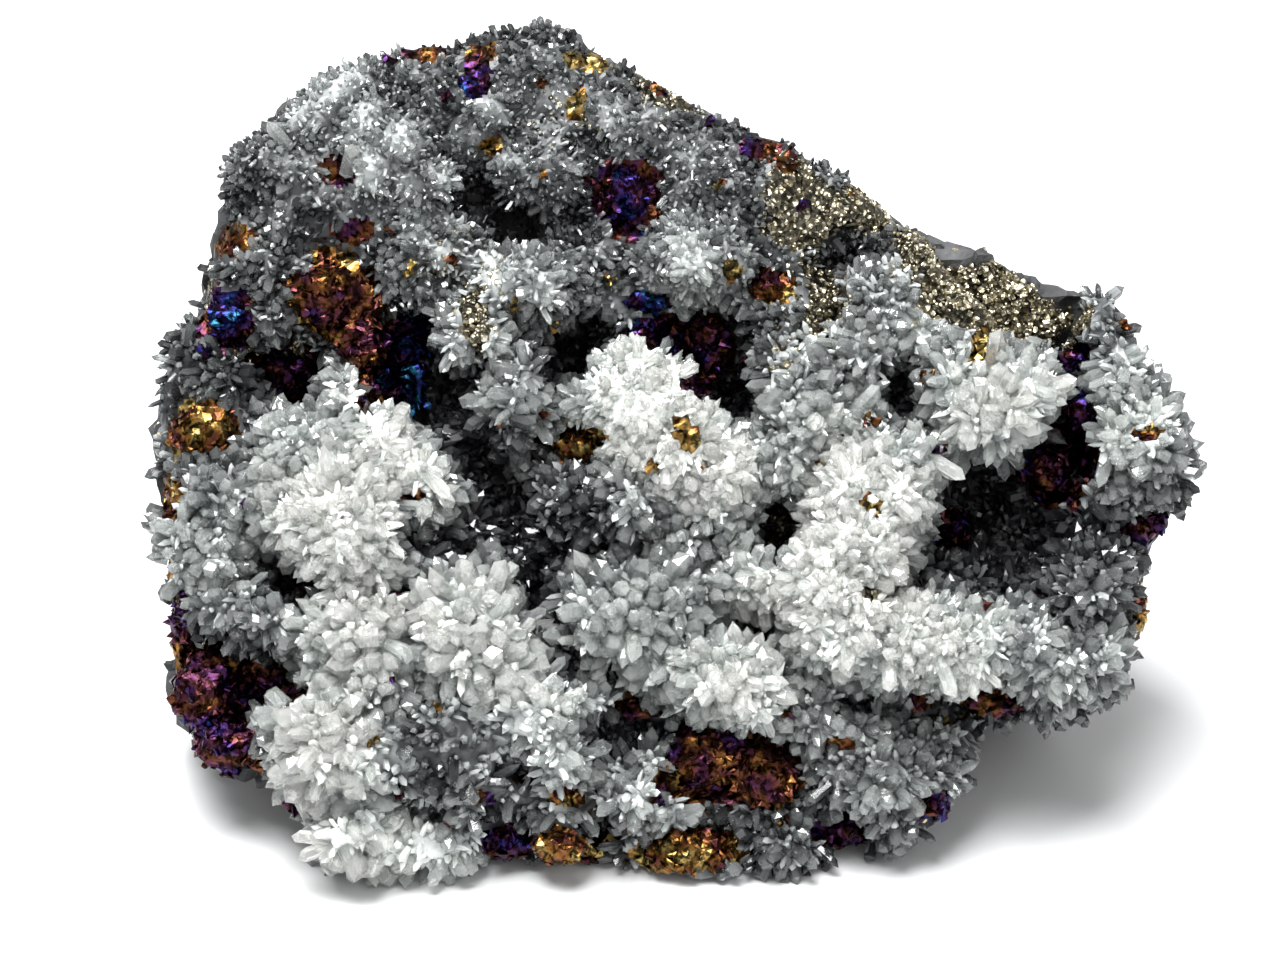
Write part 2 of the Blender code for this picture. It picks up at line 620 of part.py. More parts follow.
def room_for_tip(face, height):
    """Whether no neighbouring face leans over the slopes of a tip raised on this one."""
    middle = face.calc_center_median()
    slope = height / (TIP_FOOT * math.sqrt(face.calc_area()))
    for vert in face.verts:
        for near in vert.link_faces:
            step = near.calc_center_median() - middle
            rise = step.dot(face.normal)
            if rise > TIP_FOOT * slope * (step - face.normal * rise).length:
                return False
    return True


def raise_tips(obj, rng):
    """Draws faces of the outer surface up into three-sided crystal tips."""
    outwards = on_face(0, 0, 1) - on_face(0, 0, 0)
    bm = bmesh.new()
    bm.from_mesh(obj.data)
    bmesh.ops.triangulate(bm, faces=bm.faces)
    bm.normal_update()
    chosen = []
    for face in bm.faces:
        height = TIP_STEEPNESS * math.sqrt(face.calc_area())
        roomy = TIP_FLOOR * MM < height < TIP_CEILING * MM
        proud = face.normal.dot(outwards) > LEAST_PROUD * MM
        if roomy and proud and rng.random() < TIP_SHARE and room_for_tip(face, height):
            if not near_ore(*face_place(face.calc_center_median()), ORE_CLEARANCE):
                chosen.append((face, height))
    for face, height in chosen:
        bmesh.ops.poke(bm, faces=[face], offset=height)
    bm.to_mesh(obj.data)
    bm.free()


def make_floor_cutter():
    """What the underside is broken off along: a flat spot that rises a little all round."""
    bm = bmesh.new()

    def ring(spread, height):
        verts = []
        for k in range(CUTTER_SPOKES):
            angle = 2 * math.pi * k / CUTTER_SPOKES
            x = FLAT_SPOT[0] + spread * FLAT_HALF_SIZES[0] * math.cos(angle)
            y = FLAT_SPOT[1] + spread * FLAT_HALF_SIZES[1] * math.sin(angle)
            verts.append(bm.verts.new(Vector((x, y, height)) * MM))
        return verts

    rings = [ring(spread, height) for spread, height in UNDERSIDE]
    rings.append(ring(UNDERSIDE[-1][0], -CUTTER_DEPTH))
    for row, following in zip(rings, rings[1:]):
        for k in range(CUTTER_SPOKES):
            j = (k + 1) % CUTTER_SPOKES
            bm.faces.new((row[k], following[k], following[j], row[j]))
    bm.faces.new(rings[0])
    bm.faces.new(rings[-1])
    bmesh.ops.recalc_face_normals(bm, faces=bm.faces)
    return helper(plain_object("floor_cutter", bm))


def crystal_lump(bm, rng, centre, half_u, half_v, half_w):
    """One flat-faced chalcopyrite crystal: the hull of points spread over an ellipsoid."""
    origin = on_face(*centre)
    points = []
    for k in range(ORE_CORNERS):
        height = 1 - 2 * (k + 0.5) / ORE_CORNERS
        around = k * math.pi * (3 - math.sqrt(5)) + rng.uniform(-ORE_TURN, ORE_TURN)
        ring = math.sqrt(1 - height * height)
        scale = rng.uniform(*ORE_SCALES)
        offset = on_face(
            ring * math.cos(around) * half_u * scale,
            ring * math.sin(around) * half_v * scale,
            height * half_w * scale,
        ) - on_face(0, 0, 0)
        points.append(bm.verts.new(origin + offset))
    hull = bmesh.ops.convex_hull(bm, input=points)
    loose = [g for g in hull["geom_interior"] if isinstance(g, bmesh.types.BMVert)]
    bmesh.ops.delete(bm, geom=loose, context="VERTS")
    bmesh.ops.recalc_face_normals(bm, faces=bm.faces)


def make_ore(name, lumps, rng):
    """One chalcopyrite group: its crystals, grown into each other."""
    group = None
    for u, v, rise, *half_sizes in lumps:
        bm = bmesh.new()
        crystal_lump(bm, rng, (u, v, open_crust_top(u, v) + rise), *half_sizes)
        crystal = plain_object(name if group is None else name + "_part", bm)
        if group is None:
            group = crystal
        else:
            combine(group, crystal, "UNION")
            bpy.data.objects.remove(crystal)
    return group


def main():
    for obj in list(bpy.data.objects):
        bpy.data.objects.remove(obj)
    noise.seed_set(SEED)
    rng = random.Random(SEED)
    floor_cutter = make_floor_cutter()

    bed = bed_layout(rng)
    rock = make_rock(bed)
    cut(rock, floor_cutter)
    rock.data.materials.append(material("dark_rock", (0.16, 0.16, 0.17), 0.7, 0.1))

    pyrite = make_pyrite(rng, bed)
    pyrite.data.materials.append(material("pyrite", (0.66, 0.58, 0.36), 0.3, 1.0))
    quartz = make_quartz(rng, bed)
    quartz.data.materials.append(material("quartz", (0.78, 0.8, 0.8), 0.2, 0.0))

    cutters = [swollen(part, part.name + "_cutter") for part in (rock, quartz, pyrite)]
    cutters.append(floor_cutter)
    tarnish = material("tarnished_chalcopyrite", (0.45, 0.22, 0.2), 0.35, 1.0)
    for name, lumps in ORE.items():
        ore = make_ore(name, lumps, rng)
        for cutter in cutters:
            cut(ore, cutter)
        ore.data.materials.append(tarnish)
    raise_tips(quartz, rng)


main()
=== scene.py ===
import json
import math
import random

import bmesh
import bpy
import numpy as np
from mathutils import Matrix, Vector, noise
from mathutils.bvhtree import BVHTree

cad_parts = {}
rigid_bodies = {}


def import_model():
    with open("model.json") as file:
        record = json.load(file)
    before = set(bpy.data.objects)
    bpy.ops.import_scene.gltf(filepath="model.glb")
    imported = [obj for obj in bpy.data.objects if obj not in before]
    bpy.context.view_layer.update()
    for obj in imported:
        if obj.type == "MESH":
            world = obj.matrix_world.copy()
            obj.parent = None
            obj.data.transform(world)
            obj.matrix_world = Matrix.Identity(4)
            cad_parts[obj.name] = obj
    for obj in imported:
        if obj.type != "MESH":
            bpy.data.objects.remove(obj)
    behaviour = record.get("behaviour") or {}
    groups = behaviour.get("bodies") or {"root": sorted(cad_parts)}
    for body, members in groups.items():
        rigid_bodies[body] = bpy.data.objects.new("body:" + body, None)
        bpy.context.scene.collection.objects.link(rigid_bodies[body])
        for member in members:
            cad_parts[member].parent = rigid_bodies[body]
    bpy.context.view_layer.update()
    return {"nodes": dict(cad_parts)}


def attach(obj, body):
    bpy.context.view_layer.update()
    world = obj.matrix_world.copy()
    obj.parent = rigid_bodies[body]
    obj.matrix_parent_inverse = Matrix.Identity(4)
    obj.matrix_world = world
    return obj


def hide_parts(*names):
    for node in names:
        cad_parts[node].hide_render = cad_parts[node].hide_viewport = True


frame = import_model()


# Host rock
# The wedge of dark vein rock that everything grows on. It broke off the wall of the vein, so its
# sides and back are rough, chipped faces with thin quartz veins and specks of pyrite, and it
# stands on a flat spot.

MM = 0.001
FACE_LEAN = math.radians(30)
FACE_FOOT_Y = -30.7
SAME_PLACE = 0.001 * MM
ROCK_VOXEL = 1.1 * MM
CHIP_SIZE = 7.0 * MM
CHIP_TILT = 0.52
CHIP_MOST = 1.6 * MM
CELL_STRIDE = 7.31  # takes each chip's lean from another place of the noise
FINE_CHIP_SIZE = CHIP_SIZE / 2.6
FINE_CHIP_SHARE = 0.5
FINE_CHIP_SHIFT = Vector((1, 2, 3))
GRIT_DEPTH = 0.35 * MM
GRIT_WAVES = 700  # a metre
GRIT_OCTAVES = (0.8, 2.1, 3)  # fall-off, ratio of lengths and number
FLAT_SPOT_HEIGHT = 0.3 * MM

# Waves a metre of the rock's colours
MOTTLING, VEIN_BENDS, MINERAL_PATCHES, GLITTER, SURFACE_GRIT = 140, 30, 60, 1900, 500

# The veins lie in parallel bands, so many a metre along each axis, which wander and break off
VEINS_ACROSS = (23, 9, 38)
VEIN_WANDER = 1.6
VEIN_BREAKS = 0.12
VEIN_EDGE = [(0.0, (1, 1, 1)), (0.045, (0.8, 0.8, 0.8)), (0.07, (0, 0, 0))]
VEIN_COLOUR = (0.4, 0.42, 0.42)
SPECK_COLOUR = (0.6, 0.52, 0.34)
SPECK_SHARE, SPECK_PATCHES = 0.84, 0.54
ROCK_ROUGHNESS, SPECK_POLISH = 0.75, 0.45
ROCK_RELIEF = (0.8, 0.8 * MM)  # strength and depth
ROCK_GREYS = [
    (0.3, (0.014, 0.015, 0.016)), (0.5, (0.042, 0.043, 0.045)), (0.68, (0.09, 0.092, 0.094)),
]

noise.seed_set(3)


def on_face(u, v, w):
    """A point given in millimetres across, up and out of the leaning crystal face."""
    lean_sin, lean_cos = math.sin(FACE_LEAN), math.cos(FACE_LEAN)
    y = FACE_FOOT_Y + v * lean_sin - w * lean_cos
    return Vector((u, y, v * lean_cos + w * lean_sin)) * MM


def face_coordinates(points):
    """Where points lie across, up and out of the face, in millimetres, one row each."""
    lean_sin, lean_cos = math.sin(FACE_LEAN), math.cos(FACE_LEAN)
    back = points[:, 1] / MM - FACE_FOOT_Y
    up = points[:, 2] / MM
    v = back * lean_sin + up * lean_cos
    w = up * lean_sin - back * lean_cos
    return np.stack([points[:, 0] / MM, v, w], axis=1)


def new_piece(name, mesh):
    """Puts a mesh, a lamp or a camera into the scene."""
    piece = bpy.data.objects.new(name, mesh)
    bpy.context.scene.collection.objects.link(piece)
    return piece


def settle(piece):
    """Makes the piece's modifiers part of its mesh."""
    graph = bpy.context.evaluated_depsgraph_get()
    mesh = bpy.data.meshes.new_from_object(piece.evaluated_get(graph))
    piece.modifiers.clear()
    piece.data = mesh
    mesh.name = piece.name


def even_skin(name, nodes, voxel, smoothing):
    """Solids of the specimen fused into one evenly meshed skin, rounded if asked."""
    bm = bmesh.new()
    for node in nodes:
        bm.from_mesh(frame["nodes"][node].data)
    bmesh.ops.remove_doubles(bm, verts=bm.verts, dist=SAME_PLACE)
    mesh = bpy.data.meshes.new(name)
    bm.to_mesh(mesh)
    bm.free()
    piece = new_piece(name, mesh)
    fuse = piece.modifiers.new("fuse", "REMESH")
    fuse.mode = "VOXEL"
    fuse.voxel_size = voxel
    if smoothing:
        soften = piece.modifiers.new("soften", "SMOOTH")
        soften.iterations = smoothing
    settle(piece)
    return piece


def points_and_normals(mesh):
    """Where the mesh's corners are and which way they face, one row each."""
    points = np.empty(len(mesh.vertices) * 3, np.float32)
    normals = np.empty(len(mesh.vertices) * 3, np.float32)
    mesh.vertices.foreach_get("co", points)
    mesh.vertex_normals.foreach_get("vector", normals)
    return points.reshape(-1, 3).astype(float), normals.reshape(-1, 3).astype(float)


def place_points(mesh, points):
    """Moves the mesh's corners to new places."""
    mesh.vertices.foreach_set("co", points.astype(np.float32).ravel())
    mesh.update()


def chip_height(point, size, tilt):
    """How far a chipped surface stands out at a point: each cell of it is a tilted flat."""
    _, cells = noise.voronoi(point / size)
    lean = noise.noise_vector(cells[0] * CELL_STRIDE)
    return (point - cells[0] * size).dot(lean) * tilt


def wire(tree, kind, inputs=None, **settings):
    """A node of the tree, its inputs set to values or joined to other nodes' outputs."""
    made = tree.nodes.new(kind)
    for name, value in settings.items():
        setattr(made, name, value)
    for name, value in (inputs or {}).items():
        if isinstance(value, bpy.types.NodeSocket):
            tree.links.new(value, made.inputs[name])
        else:
            made.inputs[name].default_value = value
    return made


def ramp(tree, factor, stops):
    """A run of colours from (position, (r, g, b)) stops."""
    made = tree.nodes.new("ShaderNodeValToRGB")
    elements = made.color_ramp.elements
    while len(elements) < len(stops):
        elements.new(1.0)
    for element, (position, colour) in zip(elements, stops):
        element.position = position
        element.color = (*colour, 1)
    tree.links.new(factor, made.inputs["Fac"])
    return made.outputs["Color"]


def blend_colour(tree, factor, first, second, mode="MIX"):
    """Two colours laid over each other by a factor."""
    made = wire(tree, "ShaderNodeMix", data_type="RGBA", blend_type=mode)
    factor_socket, first_socket, second_socket = made.inputs[0], made.inputs[6], made.inputs[7]
    pairs = [(factor_socket, factor), (first_socket, first), (second_socket, second)]
    for socket, value in pairs:
        if isinstance(value, bpy.types.NodeSocket):
            tree.links.new(value, socket)
        elif socket.type == "RGBA":
            socket.default_value = (*value, 1)
        else:
            socket.default_value = value
    return made.outputs[2]


def compute(tree, operation, *values):
    """One step of arithmetic in the tree."""
    made = wire(tree, "ShaderNodeMath", operation=operation)
    for socket, value in zip(made.inputs, values):
        if isinstance(value, bpy.types.NodeSocket):
            tree.links.new(value, socket)
        else:
            socket.default_value = value
    return made.outputs["Value"]


def centred(tree, value, amount):
    """A value round a half, made to swing round nought by an amount."""
    return compute(tree, "MULTIPLY", compute(tree, "SUBTRACT", value, 0.5), amount)


def new_finish(name):
    """A material with its node tree and shader."""
    finish = bpy.data.materials.new(name)
    finish.use_nodes = True
    return finish, finish.node_tree, finish.node_tree.nodes["Principled BSDF"]


def cloud(tree, place, waves, detail):
    """A cloudy texture of so many waves a metre."""
    made = wire(tree, "ShaderNodeTexNoise", {"Vector": place, "Scale": waves, "Detail": detail})
    return made.outputs["Fac"]


def relief(tree, shader, height, strength, depth):
    """Fine relief that only tilts the light, from the heights of a texture."""
    bump = wire(tree, "ShaderNodeBump", {"Height": height, "Strength": strength, "Distance": depth})
    tree.links.new(bump.outputs["Normal"], shader.inputs["Normal"])


def rock_finish():
    """Dark grey rock: mottled, gritty, with quartz veins and glittering grains of pyrite."""
    finish, tree, shader = new_finish("dark_rock")
    place = wire(tree, "ShaderNodeTexCoord").outputs["Object"]
    mottle = cloud(tree, place, MOTTLING, 6)
    grey = ramp(tree, mottle, ROCK_GREYS)
    bend = centred(tree, cloud(tree, place, VEIN_BENDS, 5), VEIN_WANDER)
    across = wire(tree, "ShaderNodeVectorMath", {0: place, 1: VEINS_ACROSS}, operation="DOT_PRODUCT")
    vein = compute(tree, "PINGPONG", compute(tree, "ADD", across.outputs["Value"], bend), 0.5)
    patch = cloud(tree, place, MINERAL_PATCHES, 2)
    vein = compute(tree, "ADD", vein, compute(tree, "MULTIPLY", patch, VEIN_BREAKS))
    colour = blend_colour(tree, ramp(tree, vein, VEIN_EDGE), grey, VEIN_COLOUR)
    grains = wire(tree, "ShaderNodeTexVoronoi", {"Vector": place, "Scale": GLITTER})
    chosen = compute(tree, "GREATER_THAN", grains.outputs["Color"], SPECK_SHARE)
    patchy = compute(tree, "GREATER_THAN", patch, SPECK_PATCHES)
    speck = compute(tree, "MULTIPLY", chosen, patchy)
    colour = blend_colour(tree, speck, colour, SPECK_COLOUR)
    tree.links.new(colour, shader.inputs["Base Color"])
    tree.links.new(speck, shader.inputs["Metallic"])
    polish = compute(tree, "MULTIPLY", speck, SPECK_POLISH)
    tree.links.new(compute(tree, "SUBTRACT", ROCK_ROUGHNESS, polish), shader.inputs["Roughness"])
    relief(tree, shader, cloud(tree, place, SURFACE_GRIT, 5), *ROCK_RELIEF)
    return finish


rock = even_skin("broken_rock", ["host_rock"], ROCK_VOXEL, 0)
points, normals = points_and_normals(rock.data)
for k, (point, normal) in enumerate(zip(points, normals)):
    if point[2] > FLAT_SPOT_HEIGHT:
        place = Vector(point)
        rise = chip_height(place, CHIP_SIZE, CHIP_TILT)
        rise += FINE_CHIP_SHARE * chip_height(place + FINE_CHIP_SHIFT, FINE_CHIP_SIZE, CHIP_TILT)
        rise += GRIT_DEPTH * noise.fractal(place * GRIT_WAVES, *GRIT_OCTAVES)
        points[k] = point + normal * max(-CHIP_MOST, min(CHIP_MOST, rise))
points[:, 2] = np.maximum(points[:, 2], 0)
place_points(rock.data, points)
dark_rock = rock_finish()
rock.data.materials.append(dark_rock)
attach(rock, "root")
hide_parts("host_rock")


# Quartz crust
# The sheet that all the quartz crystals stand on: massive quartz, milky on the proud mounds,
# grey between them and smoky to black in the hollows. This is partly its own colour and partly
# painted shade, which darkens it the lower it lies and in its hollows and creases. It grew on the
# rock as one piece, in heads like those of a cauliflower. Metal ore and pyrite coat patches of it.

CRUST_VOXEL = 0.75 * MM
CRUST_SOFTENING = 5
HEAD_SIZES = (5.5 * MM, 2.8 * MM)
HEAD_RISES = (1.3 * MM, 0.55 * MM)
HEAD_MIDDLE = 0.45  # the height of a head that stays where the plain crust is
HEAD_SHARPNESS, HEAD_ROUNDNESS = 1.25, 0.6
HEADS_LOST = 0.7  # where the quartz is massive or coated with pyrite
FULL_RISE = 2 * MM  # distance from the rock at which the heads are fully grown
ORE_MARGIN = 0.6 * MM
ROCK_MARGIN = 1.2 * MM
FLOOR_MARGIN = 1.2 * MM
FACING_ROCK = 0.45
CLOUD_OCTAVES = (0.9, 2.1, 3)  # fall-off, ratio of lengths and number

# Ragged borders of patches: how far they wander, and how long their waves are
PATCH_EDGE, PATCH_EDGE_WAVES = 0.35, 4 * MM
HOLLOW_EDGE = 0.6
PATCH_REACH, PATCH_FADE = 1.3, 0.5  # in half-sizes of a patch
WHITE_WANDER, WHITE_WAVES = 2.2, 6 * MM

# Whiteness, 0 black to 1 white, partly the quartz's own colour and partly painted shade: it grows
# with the height of the crust over its valleys, so low places are painted darker and proud ones
# lighter
VALLEY_WHITE, MOUND_PAINTED_LIGHT = 0.19, 0.38
VALLEY_HEIGHT, MOUND_HEIGHT = -10, 16
CLOUD_WHITE, CLOUD_WAVES = 0.12, 9 * MM
CLOUD_SHIFT, WHITE_SHIFTS, MASSIVE_SHIFT = 3.0, (5.0, 9.0), 7.0  # places in the noise
LEAST_WHITE = 0.02
# Painted shade: how much the quartz is darkened in the hollows and in the creases between heads
HOLLOW_PAINTED_SHADE, CREASE_PAINTED_SHADE = 0.85, 0.28
MASSIVE_DARK, MASSIVE_CLOUDS, MASSIVE_WAVES = 0.2, 0.35, 3 * MM

# Usual size of the crystals: they get finer from a height of the face on, over a span
LOWER_SIZE, UPPER_LOSS = 1.05, 0.5
FINER_FROM, FINER_OVER = 60, 22
SIZE_RANGE = (0.45, 1.5)

# How much coating and how deep a hollow the points and needles still grow in, and how much
# coating hides the quartz
POINTS_COATED, POINTS_HOLLOW = 0.35, 0.75
NEEDLES_COATED, NEEDLES_LOST = 0.5, 0.45
ORE_HIDES, PYRITE_HIDES = 0.5, 0.45
ORE_FLOOR_MARGIN = 0.8 * MM

QUARTZ_COLOURS = [
    (0.0, (0.012, 0.013, 0.015)), (0.2, (0.085, 0.09, 0.094)), (0.42, (0.39, 0.41, 0.41)),
    (0.65, (0.77, 0.81, 0.79)), (0.85, (0.96, 0.975, 0.945)), (1.0, (0.99, 0.995, 0.97)),
]
QUARTZ_IOR = 1.54
QUARTZ_CLOUDS = 260  # waves a metre
CRYSTALS_DIFFER, CLOUDS_DIFFER = 0.2, 0.3

# The tarnish film's colours from golden to deep blue, and how far it shifts from spot to spot
FILM_COLOURS = [
    (0.0, (0.46, 0.34, 0.12)), (0.12, (0.3, 0.16, 0.04)), (0.26, (0.17, 0.065, 0.022)),
    (0.42, (0.09, 0.028, 0.026)), (0.56, (0.066, 0.02, 0.045)), (0.7, (0.045, 0.018, 0.09)),
    (0.84, (0.016, 0.024, 0.14)), (1.0, (0.014, 0.07, 0.12)),
]
FILM_SPOTS, FILM_PITS = 300, 1200  # waves a metre
SPOTS_DIFFER, GRAINS_DIFFER = 1.9, 0.22
# Painted shade in the pits: the metal's colour is darkened where its fine relief is low
PIT_PAINTED_SHADES = [(0.42, (0.1, 0.1, 0.1)), (0.58, (1, 1, 1))]
ORE_ROUGHNESS = (0.14, 0.34)
ORE_RELIEF = (0.5, 0.3 * MM)

PYRITE_COLOURS = [
    (0.0, (0.03, 0.03, 0.028)), (0.35, (0.14, 0.125, 0.09)), (0.7, (0.5, 0.45, 0.32)),
    (1.0, (0.85, 0.81, 0.67)),
]
PYRITE_GRAINS, PYRITE_PITS = 1100, 1500  # waves a metre
PACKED_SHARE, SINGLE_SHARE = 0.45, 0.7
PYRITE_ROUGHNESS = (0.15, 0.3)
PYRITE_RELIEF = (1.0, 0.6 * MM)

# How white the quartz is round places of the face, partly its own milkiness and partly painted
# light on proud mounds and painted shade beside hollows: (u, v, radius, change)
SPOT_WHITENESS_AND_SHADE = [
    (-4.5, 58, 7.5, 0.6), (2, 53, 6, 0.5), (6, 48, 4, 0.45), (-38, 43, 8, 0.65),
    (-37, 61, 3.5, 0.45), (-33, 54, 4, 0.45), (-29, 49, 4, 0.4), (-23, 30.5, 8, 0.45),
    (-36, 32, 6, 0.4),
    (-40, 18, 7, 0.6), (-27, 16, 9, -0.28), (-36, 6, 6, 0.5), (-28, 5, 5, 0.4), (-16, 22, 6, 0.35),
    (7, 25, 6, 0.45), (9, 37.5, 4, 0.4), (-6, 33, 7, 0.15), (22, 46, 7.5, 0.7), (19, 36, 6, 0.7),
    (27, 30, 6, 0.42), (35, 29, 5, 0.28), (45, 27, 5, 0.05), (38, 57, 6.5, 0.5), (17, 56, 6, 0.15),
    (25, 69, 6, 0.15), (54, 60, 6, 0.22), (55, 52, 5, 0.15), (-41, 92, 8, 0.15), (-30, 88, 5, 0.02),
    (-56, 41, 5, 0.2), (-46, 54, 6, 0.2), (-20, 71, 7, 0.02), (2, 72, 5, 0.25), (-5, 10, 4, 0.2),
    (-4, 45, 7, -0.12), (-26, 41, 6, -0.1), (-14, 40, 6, -0.25),
    (38, 41, 7, -0.2), (-51, 24, 6, -0.3), (24, 14, 7, 0.14), (17, 20, 5, 0.1), (-50, 62, 4, -0.25),
    (-57, 72, 4, -0.1), (18, 78, 9, -0.08),
]

# Hollows between the mounds, sunk, and darkened to black by painted shade: (u, v, half_u, half_v,
# depth)
HOLLOWS = [
    (-31, 64, 4, 5, 2.5), (-27, 57, 4, 5, 3), (-23, 51, 3.5, 4.5, 3), (-19.5, 45, 3.6, 4.6, 2.8),
    (-16.5, 37.5, 3.4, 4.4, 2.6), (-14.3, 31, 3, 3.6, 2.4), (-11.5, 26.5, 2.6, 2.4, 2),
    (-6, 19.5, 4.5, 2.6, 2), (-13, 63, 3.6, 3.5, 3), (-9, 66, 3, 2.5, 2),
    (-18, 78, 3, 2.5, 2), (-11, 78.5, 3, 2.2, 2), (8, 58, 3, 4, 3), (4, 65, 5, 3, 2.4),
    (12.5, 43, 3.4, 4, 2.6), (10, 31, 3, 2.5, 2), (36, 48, 5.5, 4.5, 3), (40, 43, 6, 5, 2.2),
    (45, 52, 4, 5, 3), (47, 63, 3, 3, 1.8), (-44, 36, 4, 2.8, 2.2), (-30.5, 42.5, 1.8, 4, 2),
    (-29.8, 33, 1.7, 4.5, 1.6), (-44, 60, 4.5, 3, 2.6),
    (-8, 8, 2.4, 2, 1.5), (22, 23, 3, 2.4, 1.8), (-23, 82, 2.5, 2, 1.5),
    (-10, 88, 2.4, 1.8, 1.2), (27, 59, 3, 4, 2), (-52, 24, 5.5, 5, 1.6), (-25, 41, 4, 3, 1.5),
    (34, 22, 6, 2, 1.5), (0, 19, 3, 2, 1.2), (-42, 78, 3, 3, 1.0), (50, 43, 3, 3, 1.4),
]

# Patches coated with ore: (u, v, half_u, half_v, strength, tarnish), 0 golden to 1 deep blue
ORE_PATCHES = [
    (-55, 24, 6, 8, 1.0, 0.44), (-52, 15, 5, 4, 1.0, 0.52), (-46, 11, 5, 2.5, 0.8, 0.5),
    (-46, 24, 4, 2, 0.9, 0.4), (-58, 33, 2, 3, 0.8, 0.7), (-55, 55, 4, 4.5, 1.0, 0.12),
    (-58.5, 47, 1.8, 2.8, 0.9, 0.3), (-59, 38, 1.4, 2, 0.8, 0.1), (-52, 67, 3, 4, 1.0, 0.62),
    (-46, 62, 4.5, 3, 1.0, 0.48), (-39, 70, 5.5, 5, 1.0, 0.3), (-35, 63, 3, 6, 1.0, 0.5),
    (-31, 61, 2, 5, 0.9, 0.88), (-52, 77, 3, 2, 0.8, 0.3), (-39, 85, 2.2, 1.6, 0.9, 0.46),
    (-37, 78, 3, 2, 0.6, 0.5), (-23, 96, 2, 3, 0.9, 0.7), (-22, 99, 2, 1.4, 0.8, 0.45),
    (-29, 99, 3, 1.4, 0.8, 0.5), (-10, 98, 3.6, 1.2, 0.8, 0.15), (-20, 103, 1.6, 1, 0.8, 0.12),
    (-1, 95, 1.4, 1, 0.9, 0.66), (10, 88, 2.6, 1.8, 0.9, 0.5), (13.5, 86, 1.6, 1.4, 0.7, 0.2),
    (22, 83, 1.4, 1, 0.8, 0.2), (-21, 88, 1.5, 1.2, 0.8, 0.1), (-15, 84.5, 0.9, 0.9, 0.9, 0.0),
    (-5, 82, 4, 4.6, 1.0, 0.62), (-11, 93, 1.4, 2.6, 0.6, 0.2), (0, 66, 5, 2.4, 1.0, 0.6),
    (4, 62, 3, 4, 1.0, 0.48), (8, 62, 2, 1.6, 0.8, 0.2), (-11, 53, 3.4, 2.4, 0.9, 0.08),
    (-15.5, 53, 1.5, 1.8, 0.9, 0.4), (12, 71.5, 2.8, 2, 0.9, 0.2), (7, 73, 1.2, 1.4, 0.8, 0.08),
    (36, 63.5, 1.8, 2.8, 0.9, 0.08), (46, 50, 4, 5, 1.0, 0.46), (40, 50, 5, 2, 0.8, 0.42),
    (33, 43, 3, 3, 0.9, 0.5), (48, 57.5, 2.4, 2.6, 1.0, 0.7), (47.5, 63, 3, 1.6, 0.8, 0.7),
    (55, 54, 2.4, 1.2, 0.8, 0.4), (56, 43, 3, 2, 1.0, 0.55), (55, 34, 2, 4, 0.8, 0.2),
    (52, 22, 1.8, 1.2, 0.9, 0.66), (38, 22.5, 4, 1.6, 0.9, 0.36), (29, 23, 2, 1.6, 0.9, 0.3),
    (32, 20, 1.4, 1.2, 0.8, 0.12), (20, 8, 4.4, 2.6, 0.9, 0.5), (31, 10, 2.4, 2.4, 0.9, 0.66),
    (2, 5, 7, 2.2, 1.0, 0.14), (-12, 5, 3.4, 1.8, 1.0, 0.16), (-19, 6, 3.4, 2, 1.0, 0.58),
    (-8, 6, 1.6, 1.6, 0.9, 0.02), (-30, 47, 1.8, 1.4, 0.8, 0.42), (-33, 36, 1.6, 1.2, 0.8, 0.6),
    (-8, 27, 2.2, 1.2, 0.9, 0.42), (-4, 22.5, 3, 1.6, 0.9, 0.44), (19.5, 18, 2.4, 0.9, 0.8, 0.36),
    (-17, 14, 1.8, 1, 0.7, 0.5), (-12, 12, 2.2, 1.2, 0.8, 0.2), (-22, 12, 1.8, 0.9, 0.7, 0.55),
    (23, 45.5, 1.2, 1.2, 0.9, 0.08), (-44, 9, 3.4, 1.2, 0.9, 0.85), (7, 15, 9, 5, 0.9, 0.36),
]

# Patches coated with pyrite: (u, v, half_u, half_v, strength)
PYRITE_PATCHES = [
    (38, 71, 8.5, 5, 1.0), (31, 76, 5, 3, 1.0), (45, 69, 4, 4, 0.9), (24, 81, 7, 3, 0.8),
    (15, 80, 5, 7, 0.55), (18, 70, 3, 6, 0.5), (14, 64, 2.5, 4, 0.4), (12, 42, 1.8, 2.6, 0.6),
    (25, 36, 3, 1.2, 0.7), (-23, 67, 2.4, 4, 0.5), (-56, 72, 3, 2.4, 0.5), (-13, 91, 5, 3, 0.4),
    (2, 96, 7, 4, 0.6), (-47, 63, 4, 3, 0.4), (-24, 74, 5, 4, 0.4), (42, 66, 4, 2, 0.8),
]

# Broken quartz without free crystals, only a fine glitter: (u, v, half_u, half_v, strength)
MASSIVE = [
    (-24, 15, 11, 8, 0.9), (-31, 8, 6, 4, 0.8), (-15, 12, 6, 5, 0.6), (-29, 24, 5, 4, 0.5),
    (-60, 56, 2.5, 8, 1.0), (-57, 63, 3, 4, 0.6), (52, 66, 4, 3, 0.8), (-40, 80, 6, 4, 0.4),
    (-54, 71, 4, 4, 0.5),
]

# How large the crystals are round places of the face, past their usual size: (u, v, radius, change)
CRYSTAL_SIZE = [
    (-4, 57, 8, -0.3), (-40, 18, 8, 0.3), (-36, 6, 7, 0.35), (-23, 30, 8, 0.42), (-36, 32, 7, 0.3),
    (-5, 34, 8, 0.34), (7, 26, 6, 0.25), (38, 57, 7, 0.25), (22, 45, 8, -0.05), (32, 29, 8, -0.1),
    (2, 46, 6, 0.1), (16, 60, 6, 0.25), (-26, 41, 6, 0.3), (-42, 80, 7, 0.2), (-38, 43, 6, -0.1),
]


